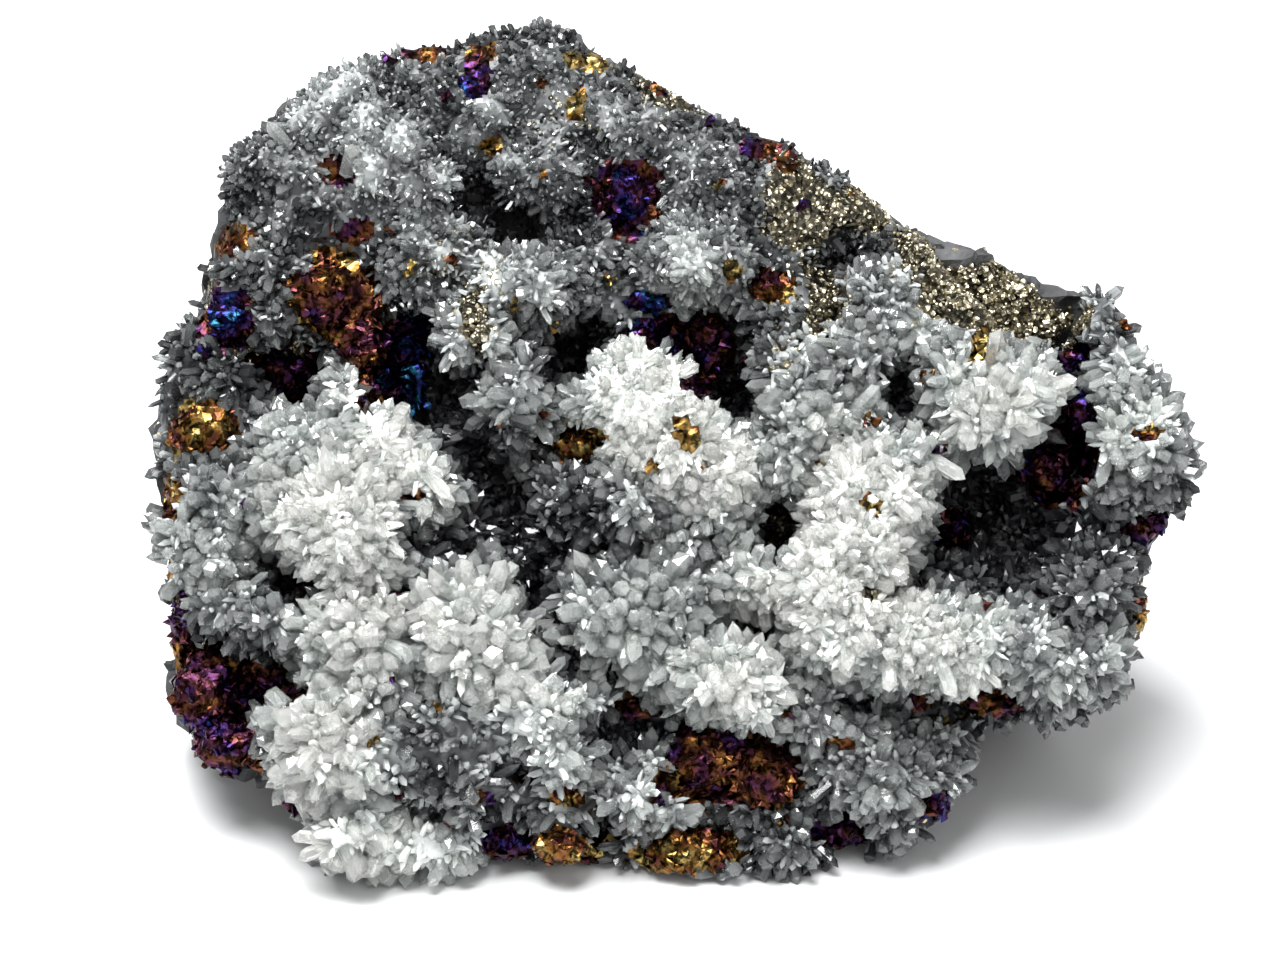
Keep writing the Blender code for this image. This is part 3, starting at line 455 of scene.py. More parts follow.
def add_attribute(mesh, name, values):
    """A number at each corner of the mesh, for the materials and the growths to read."""
    layer = mesh.attributes.new(name, "FLOAT", "POINT")
    layer.data.foreach_set("value", np.asarray(values, np.float32))


def surface_tree(nodes):
    """A search tree over the surfaces of solids of the specimen."""
    bm = bmesh.new()
    for node in nodes:
        bm.from_mesh(frame["nodes"][node].data)
    tree = BVHTree.FromBMesh(bm)
    bm.free()
    return tree


def distances(tree, points):
    """How far each point is from a surface."""
    return np.array([tree.find_nearest(Vector(point))[3] for point in points])


def facing(tree, points, normals):
    """How squarely each point faces the nearest place of a surface, 1 when straight at it."""
    found = []
    for point, normal in zip(points, normals):
        away = tree.find_nearest(Vector(point))[0] - Vector(point)
        found.append(away.normalized().dot(Vector(normal)))
    return np.array(found)


def noise_at(points, size, shift=0.0):
    """Smooth noise, about -1 to 1, whose waves are of a size."""
    away = Vector((shift, shift, shift))
    heights = [noise.fractal(Vector(point) / size + away, *CLOUD_OCTAVES) for point in points]
    return np.array(heights)


def heads(points, size):
    """Rounded heads with creases between them: 0 in a crease and about 1 on a head."""
    rise = []
    for point in points:
        gaps = noise.voronoi(Vector(point) / size)[0]
        rise.append(min(1.0, HEAD_SHARPNESS * (gaps[1] - gaps[0])) ** HEAD_ROUNDNESS)
    return np.array(rise)


def round_places(places, entries):
    """The changes of a list of (u, v, radius, change), faded out round each place."""
    total = np.zeros(len(places))
    for u, v, radius, change in entries:
        apart = (places[:, 0] - u) ** 2 + (places[:, 1] - v) ** 2
        total += change * np.exp(-apart / radius**2)
    return total


def in_patches(places, edge, entries):
    """How strongly each place is in the nearest patch, and which patch that is."""
    cover = np.zeros(len(places))
    nearest = np.zeros(len(places), int)
    for k, (u, v, half_u, half_v, strength, *_) in enumerate(entries):
        apart = np.hypot((places[:, 0] - u) / half_u, (places[:, 1] - v) / half_v) + edge
        here = strength * np.clip((PATCH_REACH - apart) / PATCH_FADE, 0, 1)
        nearest = np.where(here > cover, k, nearest)
        cover = np.maximum(cover, here)
    return cover, nearest


def quartz_finish(name, transmission, roughness, clear_tips=0.0):
    """Quartz: smoky, grey or milky by how white it is, a whiteness that also carries painted shade,
    clearer and brighter towards the tips.
    """
    finish, tree, shader = new_finish(name)
    place = wire(tree, "ShaderNodeTexCoord").outputs["Object"]
    # The whiteness carries painted shade: low, hollow and creased places of the crust come out
    # darker
    white = wire(tree, "ShaderNodeAttribute", attribute_name="whiteness").outputs["Fac"]
    tip = wire(tree, "ShaderNodeAttribute", attribute_name="tip").outputs["Fac"]
    own = wire(tree, "ShaderNodeAttribute", attribute_name="shade").outputs["Fac"]
    milk = cloud(tree, place, QUARTZ_CLOUDS, 3)
    level = compute(tree, "ADD", white, centred(tree, own, CRYSTALS_DIFFER))
    level = compute(tree, "ADD", level, centred(tree, milk, CLOUDS_DIFFER))
    level = compute(tree, "ADD", level, compute(tree, "MULTIPLY", tip, clear_tips))
    tree.links.new(ramp(tree, level, QUARTZ_COLOURS), shader.inputs["Base Color"])
    shader.inputs["Transmission Weight"].default_value = transmission
    shader.inputs["IOR"].default_value = QUARTZ_IOR
    shader.inputs["Roughness"].default_value = roughness
    return finish


def uneven_gloss(tree, shader, texture, span):
    """Roughness that starts at the first value of a span and grows by up to the second."""
    least, most_more = span
    rough = compute(tree, "ADD", least, compute(tree, "MULTIPLY", texture, most_more))
    tree.links.new(rough, shader.inputs["Roughness"])


def ore_finish():
    """Metal under a tarnish film, whose colour shifts from gold through magenta to deep blue, with
    painted shade in the low pits of its fine relief.
    """
    finish, tree, shader = new_finish("tarnished_chalcopyrite")
    place = wire(tree, "ShaderNodeTexCoord").outputs["Object"]
    tarnish = wire(tree, "ShaderNodeAttribute", attribute_name="tarnish").outputs["Fac"]
    own = wire(tree, "ShaderNodeAttribute", attribute_name="shade").outputs["Fac"]
    spots = wire(tree, "ShaderNodeTexNoise", {
        "Vector": place, "Scale": FILM_SPOTS, "Detail": 4, "Roughness": 0.65,
    })
    film = compute(tree, "ADD", tarnish, centred(tree, spots.outputs["Fac"], SPOTS_DIFFER))
    film = compute(tree, "ADD", film, centred(tree, own, GRAINS_DIFFER))
    pits = cloud(tree, place, FILM_PITS, 3)
    # Painted shade: the colour is darkened where the pits of the fine relief are low
    pit_painted_shade = ramp(tree, pits, PIT_PAINTED_SHADES)
    colour = blend_colour(tree, 1.0, ramp(tree, film, FILM_COLOURS), pit_painted_shade, "MULTIPLY")
    tree.links.new(colour, shader.inputs["Base Color"])
    shader.inputs["Metallic"].default_value = 1.0
    uneven_gloss(tree, shader, pits, ORE_ROUGHNESS)
    relief(tree, shader, pits, *ORE_RELIEF)
    return finish


def pyrite_finish():
    """Pale brass metal in small grains, some bright and some nearly black."""
    finish, tree, shader = new_finish("pyrite")
    place = wire(tree, "ShaderNodeTexCoord").outputs["Object"]
    own = wire(tree, "ShaderNodeAttribute", attribute_name="shade").outputs["Fac"]
    grains = wire(tree, "ShaderNodeTexVoronoi", {"Vector": place, "Scale": PYRITE_GRAINS})
    level = compute(tree, "MULTIPLY", grains.outputs["Color"], PACKED_SHARE)
    level = compute(tree, "ADD", level, compute(tree, "MULTIPLY", own, SINGLE_SHARE))
    tree.links.new(ramp(tree, level, PYRITE_COLOURS), shader.inputs["Base Color"])
    shader.inputs["Metallic"].default_value = 1.0
    uneven_gloss(tree, shader, cloud(tree, place, PYRITE_PITS, 2), PYRITE_ROUGHNESS)
    relief(tree, shader, grains.outputs["Distance"], *PYRITE_RELIEF)
    return finish


ORE_NODES = sorted(name for name in frame["nodes"] if name.startswith("peacock_ore"))
peacock = ore_finish()
brassy = pyrite_finish()
crust = even_skin("quartz_sheet", ["quartz_crust"], CRUST_VOXEL, CRUST_SOFTENING)
points, normals = points_and_normals(crust.data)
places = face_coordinates(points)
edge = PATCH_EDGE * noise_at(points, PATCH_EDGE_WAVES)
wander = [WHITE_WANDER * noise_at(points, WHITE_WAVES, shift) for shift in WHITE_SHIFTS]
wander = np.stack([*wander, 0 * edge], axis=1)
hollows = [(*entry[:4], 1.0, entry[4]) for entry in HOLLOWS]
hollow, nearest = in_patches(places, HOLLOW_EDGE * edge, hollows)
depth = hollow * np.array([entry[4] for entry in HOLLOWS])[nearest]
ore, nearest = in_patches(places, edge, ORE_PATCHES)
tarnish = np.array([entry[5] for entry in ORE_PATCHES])[nearest]
pyrite, _ = in_patches(places, edge, PYRITE_PATCHES)
massive, _ = in_patches(places, edge, MASSIVE)
rock_tree, ore_tree = surface_tree(["host_rock"]), surface_tree(ORE_NODES)
from_rock, from_ore = distances(rock_tree, points), distances(ore_tree, points)
outside = np.clip(from_rock / FULL_RISE, 0, 1)

# Painted light and shade: the quartz is made whiter the higher the crust stands over its valleys
whiteness = np.clip((places[:, 2] - VALLEY_HEIGHT) / MOUND_HEIGHT, 0, 1)
whiteness = VALLEY_WHITE + MOUND_PAINTED_LIGHT * whiteness + round_places(places + wander, SPOT_WHITENESS_AND_SHADE)
whiteness += CLOUD_WHITE * noise_at(points, CLOUD_WAVES, CLOUD_SHIFT)
# Painted shade: the quartz is darkened in the hollows here and in the creases between heads below
whiteness = np.clip(whiteness, LEAST_WHITE, 1) * (1 - HOLLOW_PAINTED_SHADE * hollow)
large, small = (heads(points, size) for size in HEAD_SIZES)
whiteness -= CREASE_PAINTED_SHADE * (1 - large) * (1 - massive)
broken = MASSIVE_DARK + MASSIVE_CLOUDS * noise_at(points, MASSIVE_WAVES, MASSIVE_SHIFT)
whiteness -= massive * broken
rise = HEAD_RISES[0] * (large - HEAD_MIDDLE) + HEAD_RISES[1] * (small - HEAD_MIDDLE)
rise = rise * (1 - HEADS_LOST * np.maximum(massive, pyrite)) * outside - depth * MM * outside
points += normals * rise[:, None]
points[:, 2] = np.maximum(points[:, 2], 0.0)
place_points(crust.data, points)

hidden = (from_rock < ROCK_MARGIN) & (facing(rock_tree, points, normals) > FACING_ROCK)
bare = hidden | (from_ore < ORE_MARGIN) | (points[:, 2] < FLOOR_MARGIN)
coated = np.maximum(ore, pyrite)
upper = np.clip((places[:, 1] - FINER_FROM) / FINER_OVER, 0, 1)
size = LOWER_SIZE - UPPER_LOSS * upper + round_places(places, CRYSTAL_SIZE)
add_attribute(crust.data, "whiteness", np.clip(whiteness, 0, 1))
add_attribute(crust.data, "tarnish", tarnish)
for_points = (coated < POINTS_COATED) & (hollow < POINTS_HOLLOW)
for_needles = coated < NEEDLES_COATED
add_attribute(crust.data, "points_room", ~bare * (1 - massive) * for_points)
add_attribute(crust.data, "needles_room", ~bare * (1 - NEEDLES_LOST * massive) * for_needles)
add_attribute(crust.data, "ore_room", ~hidden * (points[:, 2] > ORE_FLOOR_MARGIN) * ore**2)
add_attribute(crust.data, "pyrite_room", ~hidden * pyrite)
add_attribute(crust.data, "size", np.clip(size, *SIZE_RANGE))
massive_quartz = quartz_finish("massive_quartz", transmission=0.0, roughness=0.4)
for finish in (massive_quartz, peacock, brassy):
    crust.data.materials.append(finish)
for face in crust.data.polygons:
    corners = list(face.vertices)
    if ore[corners].mean() > ORE_HIDES:
        face.material_index = 1
    elif pyrite[corners].mean() > PYRITE_HIDES:
        face.material_index = 2
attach(crust, "root")
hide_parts("quartz_crust")


# Quartz crystals
# Six-sided quartz points, a millimetre or two thick, which stand out of the crust like petals and
# bristles, with finer needles between them and some longer points past them. They grew on the
# crust all in one time, and are clear at the tips and milky at the roots.

# Shapes of one unit: (name, sides, height of the shoulder, turn of the tip, taper)
POINT_SHAPES = [
    ("blunt_point", 6, 0.78, 0.4, 0.96), ("long_point", 6, 0.8, 2.1, 0.94),
    ("sharp_point", 6, 0.66, 3.6, 0.9), ("short_point", 6, 0.72, 5.2, 0.97),
]
NEEDLE_SHAPES = [("fine_blunt", 5, 0.72, 0.9, 0.94), ("fine_sharp", 5, 0.62, 2.6, 0.9)]
SHOULDER_STEP, SHOULDER_LEAN, PEAK_ASIDE = 0.05, 0.04, 0.1

# Strips of the face from left to right, each with its own meshes of crystals (mm)
BANDS = {"left": (-70, -30), "left_middle": (-30, -8), "right_middle": (-8, 18), "right": (18, 70)}

# Room that the specimen has: crystals that reach past it are left out
SIDE_LIMIT = 64.8 * MM
FRONT_LIMIT = -34.0 * MM
BACK_LIMIT = 33.6 * MM
TOP_LIMIT = 88.6 * MM
FLOOR_GAP = 0.05 * MM

# Longer points that stand out one by one, each with its foot in the crust:
# (u, v, how far it leans across, up and out, length, thickness, whiteness)
LONG_POINTS = [
    (-2.2, 71.5, 1, 0.05, 0.35, 7.7, 1.9, 0.85), (19, 66, 0.9, 0.1, 0.4, 7.1, 2.6, 0.6),
    (17.6, 60.5, 0.1, 0, 1, 4.8, 2.7, 0.55), (17, 53.5, 0.5, 0.8, 0.5, 6.1, 2.2, 0.7),
    (21, 56.5, 0.6, 0.6, 0.6, 5.5, 2.2, 0.6), (29.5, 51.5, 0.8, -0.5, 0.5, 6.1, 2, 0.7),
    (-39.5, 48, -0.1, 1, 0.6, 6.1, 2.1, 0.9), (-36.5, 47, 0.4, 0.9, 0.6, 5.5, 1.9, 0.85),
    (-31.5, 55.5, 0.8, -0.5, 0.5, 6.1, 1.9, 0.7), (-29, 50, 0.7, -0.7, 0.5, 5.8, 1.9, 0.75),
    (-26, 34.5, -0.4, 0.9, 0.6, 5.8, 2.4, 0.9), (-21, 35, 0.3, 0.9, 0.6, 6.1, 2.5, 0.9),
    (-17.5, 31, 0.95, 0.1, 0.5, 5.8, 2.4, 0.85), (-18.5, 26.5, 0.8, -0.6, 0.5, 5.5, 2.4, 0.8),
    (-28.5, 28, -0.9, -0.2, 0.5, 5.3, 2.2, 0.8), (-42, 20, -0.7, 0.5, 0.7, 6.1, 2.6, 0.85),
    (-38, 25, 0.1, 0.9, 0.6, 5.8, 2.5, 0.8), (-42.5, 15.5, -0.9, -0.2, 0.5, 5.3, 2.5, 0.75),
    (-9, 37, -0.5, 0.8, 0.6, 5.5, 2.4, 0.6), (-1, 37, 0.6, 0.7, 0.6, 5.5, 2.4, 0.6),
    (-11, 31, -0.9, -0.1, 0.6, 5.3, 2.2, 0.55), (42.5, 59, 0.9, 0.3, 0.5, 5.5, 2.2, 0.75),
    (43, 55, 0.9, -0.4, 0.5, 5.3, 2.2, 0.7), (37, 62, 0.2, 0.95, 0.5, 5.3, 2.1, 0.75),
    (31, 28, 0.3, -0.9, 0.5, 5.5, 1.8, 0.7), (25, 28.5, 0, -0.9, 0.6, 5.3, 1.8, 0.75),
    (43, 26, 0.5, -0.8, 0.5, 5.3, 1.8, 0.55), (-34, 6.5, -0.2, -0.8, 0.6, 5, 2.4, 0.75),
    (-45, 88, -0.6, 0.7, 0.6, 4.5, 1.8, 0.6), (-38, 85, 0.2, 0.6, 0.8, 5, 2, 0.6),
]
LONG_POINT_SUNK = 0.3
FRONT_OF_STONE = 60  # well before the face, where a ray starts that finds the crust (mm)
EVEN_SHADE = 0.5


def quartz_point(name, sides, shoulder, lean, taper):
    """One crystal, one unit thick and long: a prism closed by a pointed end of sloping faces."""
    bm = bmesh.new()
    foot, top = [], []
    for k in range(sides):
        angle = 2 * math.pi * k / sides
        across = Vector((math.cos(angle), math.sin(angle), 0)) / 2
        foot.append(bm.verts.new(across))
        step = SHOULDER_STEP * (1 if k % 2 else -1) + SHOULDER_LEAN * math.sin(angle * 2 + lean)
        top.append(bm.verts.new(across * taper + Vector((0, 0, shoulder + step))))
    peak = bm.verts.new((PEAK_ASIDE * math.cos(lean), PEAK_ASIDE * math.sin(lean), 1))
    for k in range(sides):
        j = (k + 1) % sides
        bm.faces.new((foot[k], foot[j], top[j], top[k]))
        bm.faces.new((top[k], top[j], peak))
    bm.faces.new(foot[::-1])
    heights = [vert.co.z for vert in bm.verts]
    mesh = bpy.data.meshes.new(name)
    bm.to_mesh(mesh)
    bm.free()
    add_attribute(mesh, "tip", np.clip(heights, 0, 1))
    return bpy.data.objects.new(name, mesh)


def kinds_of(name, made):
    """A collection of the shapes that a growth picks from."""
    kinds = bpy.data.collections.new(name)
    for shape in made:
        kinds.objects.link(shape)
    return kinds


def growth_tree(name):
    """Crystals scattered over a surface, standing along its normals with some spread."""
    tree = bpy.data.node_groups.new(name, "GeometryNodeTree")
    tree.interface.new_socket("Geometry", in_out="INPUT", socket_type="NodeSocketGeometry")
    sizes = {
        "Kinds": "NodeSocketCollection", "Finish": "NodeSocketMaterial", "Room": "NodeSocketString",
        "From": "NodeSocketFloat", "To": "NodeSocketFloat", "Spacing": "NodeSocketFloat",
        "Density": "NodeSocketFloat", "Thinnest": "NodeSocketFloat", "Thickest": "NodeSocketFloat",
        "Shortest": "NodeSocketFloat", "Longest": "NodeSocketFloat",
        "Spread": "NodeSocketFloat", "Sunk": "NodeSocketFloat", "Seed": "NodeSocketInt",
    }
    for label, kind in sizes.items():
        tree.interface.new_socket(label, in_out="INPUT", socket_type=kind)
    tree.interface.new_socket("Geometry", in_out="OUTPUT", socket_type="NodeSocketGeometry")
    given = tree.nodes.new("NodeGroupInput").outputs

    def number(label):
        """A number that the ground carries at each place."""
        made = wire(tree, "GeometryNodeInputNamedAttribute", {"Name": label}, data_type="FLOAT")
        return made.outputs["Attribute"]

    def between(low, high, seed):
        """A number drawn for each crystal. The seed keeps one draw apart from the others."""
        made = wire(tree, "FunctionNodeRandomValue", data_type="FLOAT")
        for socket, value in zip([s for s in made.inputs if s.enabled], (low, high)):
            if isinstance(value, bpy.types.NodeSocket):
                tree.links.new(value, socket)
            else:
                socket.default_value = value
        tree.links.new(compute(tree, "ADD", given["Seed"], seed), made.inputs["Seed"])
        return next(s for s in made.outputs if s.enabled)

    position = wire(tree, "GeometryNodeInputPosition").outputs[0]
    place = wire(tree, "ShaderNodeSeparateXYZ", {"Vector": position})
    after = compute(tree, "GREATER_THAN", place.outputs["X"], given["From"])
    before = compute(tree, "LESS_THAN", place.outputs["X"], given["To"])
    within = compute(tree, "MULTIPLY", after, before)
    scatter = wire(tree, "GeometryNodeDistributePointsOnFaces", {
        "Mesh": given["Geometry"], "Distance Min": given["Spacing"], "Density Max": given["Density"],
        "Density Factor": compute(tree, "MULTIPLY", number(given["Room"]), within),
        "Seed": given["Seed"],
    }, distribute_method="POISSON")
    other_way = compute(tree, "MULTIPLY", given["Spread"], -1)
    tilt = wire(tree, "ShaderNodeCombineXYZ", {
        "X": between(other_way, given["Spread"], 11), "Y": between(other_way, given["Spread"], 12),
        "Z": between(0.0, 2 * math.pi, 13),
    })
    turn = wire(tree, "FunctionNodeEulerToRotation", {"Euler": tilt.outputs[0]})
    turned = wire(tree, "FunctionNodeRotateRotation", {
        "Rotation": scatter.outputs["Rotation"], "Rotate By": turn.outputs[0],
    }, rotation_space="LOCAL")
    thickness = between(given["Thinnest"], given["Thickest"], 14)
    across = compute(tree, "MULTIPLY", thickness, number("size"))
    length = between(given["Shortest"], given["Longest"], 15)
    along = compute(tree, "MULTIPLY", length, number("size"))
    stand = wire(tree, "ShaderNodeCombineXYZ", {"X": across, "Y": across, "Z": along})
    picked = wire(tree, "GeometryNodeCollectionInfo", {
        "Collection": given["Kinds"], "Separate Children": True, "Reset Children": True,
    })
    instances = wire(tree, "GeometryNodeInstanceOnPoints", {
        "Points": scatter.outputs["Points"], "Instance": picked.outputs[0], "Pick Instance": True,
        "Rotation": turned.outputs[0], "Scale": stand.outputs[0],
    })
    sunk = wire(tree, "ShaderNodeCombineXYZ", {"Z": compute(tree, "MULTIPLY", given["Sunk"], -1)})
    lowered = wire(tree, "GeometryNodeTranslateInstances", {
        "Instances": instances.outputs[0], "Translation": sunk.outputs[0], "Local Space": True,
    })
    shaded = wire(tree, "GeometryNodeStoreNamedAttribute", {
        "Geometry": lowered.outputs[0], "Name": "shade", "Value": between(0.0, 1.0, 16),
    }, data_type="FLOAT", domain="INSTANCE")
    real = wire(tree, "GeometryNodeRealizeInstances", {"Geometry": shaded.outputs[0]})
    dressed = wire(tree, "GeometryNodeSetMaterial", {
        "Geometry": real.outputs[0], "Material": given["Finish"],
    })
    leave = tree.nodes.new("NodeGroupOutput")
    tree.links.new(dressed.outputs[0], leave.inputs[0])
    return tree


def has_room(place):
    """Whether a place is inside the room that the specimen has."""
    beside = abs(place.x) < SIDE_LIMIT and FRONT_LIMIT < place.y < BACK_LIMIT
    return beside and place.z < TOP_LIMIT


def trim(mesh):
    """Takes out whole crystals that reach past the room the specimen has."""
    bm = bmesh.new()
    bm.from_mesh(mesh)
    spent = set()
    for vert in bm.verts:
        if vert not in spent and not has_room(vert.co):
            reached = [vert]
            while reached:
                here = reached.pop()
                if here not in spent:
                    spent.add(here)
                    reached.extend(edge.other_vert(here) for edge in here.link_edges)
    if spent:
        bmesh.ops.delete(bm, geom=list(spent), context="VERTS")
        bm.to_mesh(mesh)
    bm.free()


def grow(name, ground, **sizes):
    """The crystals that the growth tree makes over the ground, as a plain mesh of its own."""
    piece = new_piece(name, ground)
    modifier = piece.modifiers.new("growth", "NODES")
    modifier.node_group = growth
    for socket in growth.interface.items_tree:
        if socket.in_out == "INPUT" and socket.name in sizes:
            modifier[socket.identifier] = sizes[socket.name]
    settle(piece)
    trim(piece.data)
    points, _ = points_and_normals(piece.data)
    points[:, 2] = np.maximum(points[:, 2], FLOOR_GAP)
    place_points(piece.data, points)
    return piece


growth = growth_tree("crystal_growth")
point_kinds = kinds_of("quartz_points", [quartz_point(*shape) for shape in POINT_SHAPES])
needle_kinds = kinds_of("quartz_needles", [quartz_point(*shape) for shape in NEEDLE_SHAPES])
clear_quartz = quartz_finish("clear_quartz", transmission=0.8, roughness=0.08, clear_tips=0.15)
milky_quartz = quartz_finish("milky_quartz", transmission=0.3, roughness=0.12, clear_tips=0.18)
for side, (start, end) in BANDS.items():
    band = dict(From=start * MM, To=end * MM)
    coarse = grow(
        "quartz_points_" + side, crust.data, Kinds=point_kinds, Room="points_room",
        Finish=clear_quartz, Spacing=0.98 * MM, Density=1.7e6, Thinnest=0.9 * MM,
        Thickest=2.0 * MM, Shortest=1.7 * MM, Longest=3.4 * MM, Spread=0.6, Sunk=0.8 * MM,
        Seed=5, **band,
    )
    fine = grow(
        "quartz_needles_" + side, crust.data, Kinds=needle_kinds, Room="needles_room",
        Finish=milky_quartz, Spacing=0.68 * MM, Density=2.9e6, Thinnest=0.5 * MM,
        Thickest=1.0 * MM, Shortest=0.9 * MM, Longest=2.0 * MM, Spread=0.8, Sunk=0.25 * MM,
        Seed=9, **band,
    )
    for piece in (coarse, fine):
        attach(piece, "root")

surface = BVHTree.FromPolygons(
    [vertex.co for vertex in crust.data.vertices],
    [tuple(face.vertices) for face in crust.data.polygons],
)
face_foot = on_face(0, 0, 0)
into_face = on_face(0, 0, -1) - face_foot
bm = bmesh.new()
white_of = []
for k, (u, v, across, up, out, length, thickness, white) in enumerate(LONG_POINTS):
    foot = surface.ray_cast(on_face(u, v, FRONT_OF_STONE), into_face)[0]
    turn = (on_face(across, up, out) - face_foot).normalized().to_track_quat("Z", "Y")
    first = len(bm.verts)
    bm.from_mesh(point_kinds.objects[k % len(POINT_SHAPES)].data)
    bm.verts.ensure_lookup_table()
    for vert in bm.verts[first:]:
        x, y, z = vert.co
        place = Vector((x * thickness, y * thickness, z * length - LONG_POINT_SUNK)) * MM
        vert.co = foot + turn @ place
        white_of.append(white)
mesh = bpy.data.meshes.new("quartz_long_points")
bm.to_mesh(mesh)
bm.free()
add_attribute(mesh, "whiteness", white_of)
add_attribute(mesh, "shade", np.full(len(white_of), EVEN_SHADE))
mesh.materials.append(clear_quartz)
long_points = new_piece("quartz_long_points", mesh)
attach(long_points, "root")


# Tarnished chalcopyrite
# Brassy metallic crystals, heaped in knots between the quartz. Their faces have tarnished to gold,
# copper, magenta, violet and deep blue, and each knot grew as one piece.

ORE_VOXEL = 0.4 * MM
ORE_CHIP_SIZE, ORE_CHIP_TILT, ORE_CHIP_SUNK = 2.2 * MM, 0.55, 0.15 * MM
ORE_CHIP_RANGE = (-0.5 * MM, 0.35 * MM)

# A grain is the hull of points round the corners of a tetrahedron, one unit across
GRAIN_KINDS = 5
GRAIN_CORNERS = [(1, 1, 1), (1, -1, -1), (-1, 1, -1), (-1, -1, 1)]
POINTS_A_CORNER, CORNER_SPREAD, CORNER_REACH = 3, 0.2, (0.8, 1.0)

# Growths over a whole mesh, and turned every way (radians)
EVERYWHERE = dict(From=-1.0, To=1.0)
EVERY_WAY = 3.0

# How far each lump's tarnish has gone: 0 golden, 1 deep blue
TARNISH = {
    "peacock_ore_plate": 0.36, "peacock_ore_plate_tail": 0.5, "peacock_ore_left_corner": 0.46,
    "peacock_ore_corner_shelf": 0.42, "peacock_ore_corner_sliver": 0.56,
    "peacock_ore_upper_left": 0.34, "peacock_ore_blue_wall": 0.85, "peacock_ore_left_edge": 0.16,
    "peacock_ore_under_ridge": 0.52, "peacock_ore_purple_knot": 0.7, "peacock_ore_upper_knot": 0.68,
    "peacock_ore_red_prism": 0.5, "peacock_ore_blue_prism": 0.78, "peacock_ore_gold_bow": 0.05,
    "peacock_ore_crown_grain": 0.08, "peacock_ore_orange_knot": 0.22,
    "peacock_ore_olive_knot": 0.06, "peacock_ore_cave_wall": 0.5, "peacock_ore_cave_shoulder": 0.68,
    "peacock_ore_cave_roof": 0.6, "peacock_ore_cave_floor": 0.55, "peacock_ore_right_edge": 0.6,
    "peacock_ore_right_flank": 0.18, "peacock_ore_under_ledge": 0.4,
    "peacock_ore_ledge_grain": 0.35, "peacock_ore_dark_foot": 0.52,
    "peacock_ore_dark_corner": 0.66, "peacock_ore_gold_foot": 0.24,
    "peacock_ore_orange_foot": 0.25, "peacock_ore_violet_foot": 0.58,
}

# Knots of small grains among the quartz points, standing up to their tips:
# (u, v, radius, tarnish)
ORE_SPECKS = [
    (-35, 19, 1.0, 0.0), (-33, 25.5, 0.8, 0.5), (-27, 22, 0.7, 0.1), (-31, 13.5, 0.7, 0.4),
    (-29.5, 43, 1.1, 0.05), (17, 52.3, 1.0, 0.1), (19.5, 53.2, 0.8, 0.3), (23.5, 54.5, 1.2, 0.3),
    (30, 51.5, 1.0, 0.48), (1, 54, 1.6, 0.08), (-2.2, 51, 0.9, 0.25), (4, 50.4, 0.9, 0.14),
    (-54, 63, 1.2, 0.8), (-46, 72, 1.0, 0.4), (-56, 69, 1.2, 0.1), (-33, 78, 0.8, 0.2),
    (-18.5, 70, 1.0, 0.1), (-14, 68, 0.8, 0.0), (-26, 75, 1.0, 0.45), (-30, 74, 1.0, 0.1),
    (-21, 62, 0.9, 0.1), (-16, 57, 0.9, 0.3), (-8, 73, 0.9, 0.1), (-9, 84, 0.8, 0.4),
    (-27, 93, 1.0, 0.4), (-33, 97, 0.9, 0.6), (-15, 95, 0.9, 0.2), (4, 90, 0.9, 0.5),
    (5, 84, 0.8, 0.3), (16, 81, 0.9, 0.66), (28, 64, 0.8, 0.48), (31, 61, 1.0, 0.2),
    (52, 66, 0.9, 0.36), (58, 58, 1.0, 0.2), (44, 36, 0.9, 0.5), (36, 33, 0.8, 0.4),
    (14, 22, 0.9, 0.45), (-2, 12, 0.9, 0.5), (13, 8, 1.0, 0.3), (27, 6, 0.9, 0.5),
    (-25, 9, 0.8, 0.3), (-50, 46, 0.9, 0.3), (-42, 35, 0.8, 0.5), (-20, 56, 0.8, 0.1),
]
SPECK_SEED = 8
GRAINS_A_SPECK = 4
SPECK_RISE, SPECK_SPREAD, SPECK_GRAIN = 1.5, 0.6, 1.3


def random_vector(rng, most):
    """A vector with each of its parts drawn between a number and its opposite."""
    return Vector([rng.uniform(-most, most) for _ in range(3)])


def ore_grain(name, seed):
    """One small chalcopyrite crystal, a blunted wedge with flat faces, one unit across."""
    rng = random.Random(seed)
    bm = bmesh.new()
    for corner in GRAIN_CORNERS:
        away = Vector(corner).normalized() / 2
        for _ in range(POINTS_A_CORNER):
            shift = random_vector(rng, CORNER_SPREAD)
            bm.verts.new(away * rng.uniform(*CORNER_REACH) + shift)
    hull = bmesh.ops.convex_hull(bm, input=bm.verts)
    loose = [g for g in hull["geom_interior"] if isinstance(g, bmesh.types.BMVert)]
    bmesh.ops.delete(bm, geom=loose, context="VERTS")
    bmesh.ops.recalc_face_normals(bm, faces=bm.faces)
    mesh = bpy.data.meshes.new(name)
    bm.to_mesh(mesh)
    bm.free()
    return bpy.data.objects.new(name, mesh)


def joined(name, pieces, finish):
    """Pieces made into one mesh of one finish."""
    bm = bmesh.new()
    for piece in pieces:
        bm.from_mesh(piece.data)
    mesh = bpy.data.meshes.new(name)
    bm.to_mesh(mesh)
    bm.free()
    mesh.materials.append(finish)
    for face in mesh.polygons:
        face.material_index = 0
    for piece in pieces:
        bpy.data.objects.remove(piece)
    return new_piece(name, mesh)


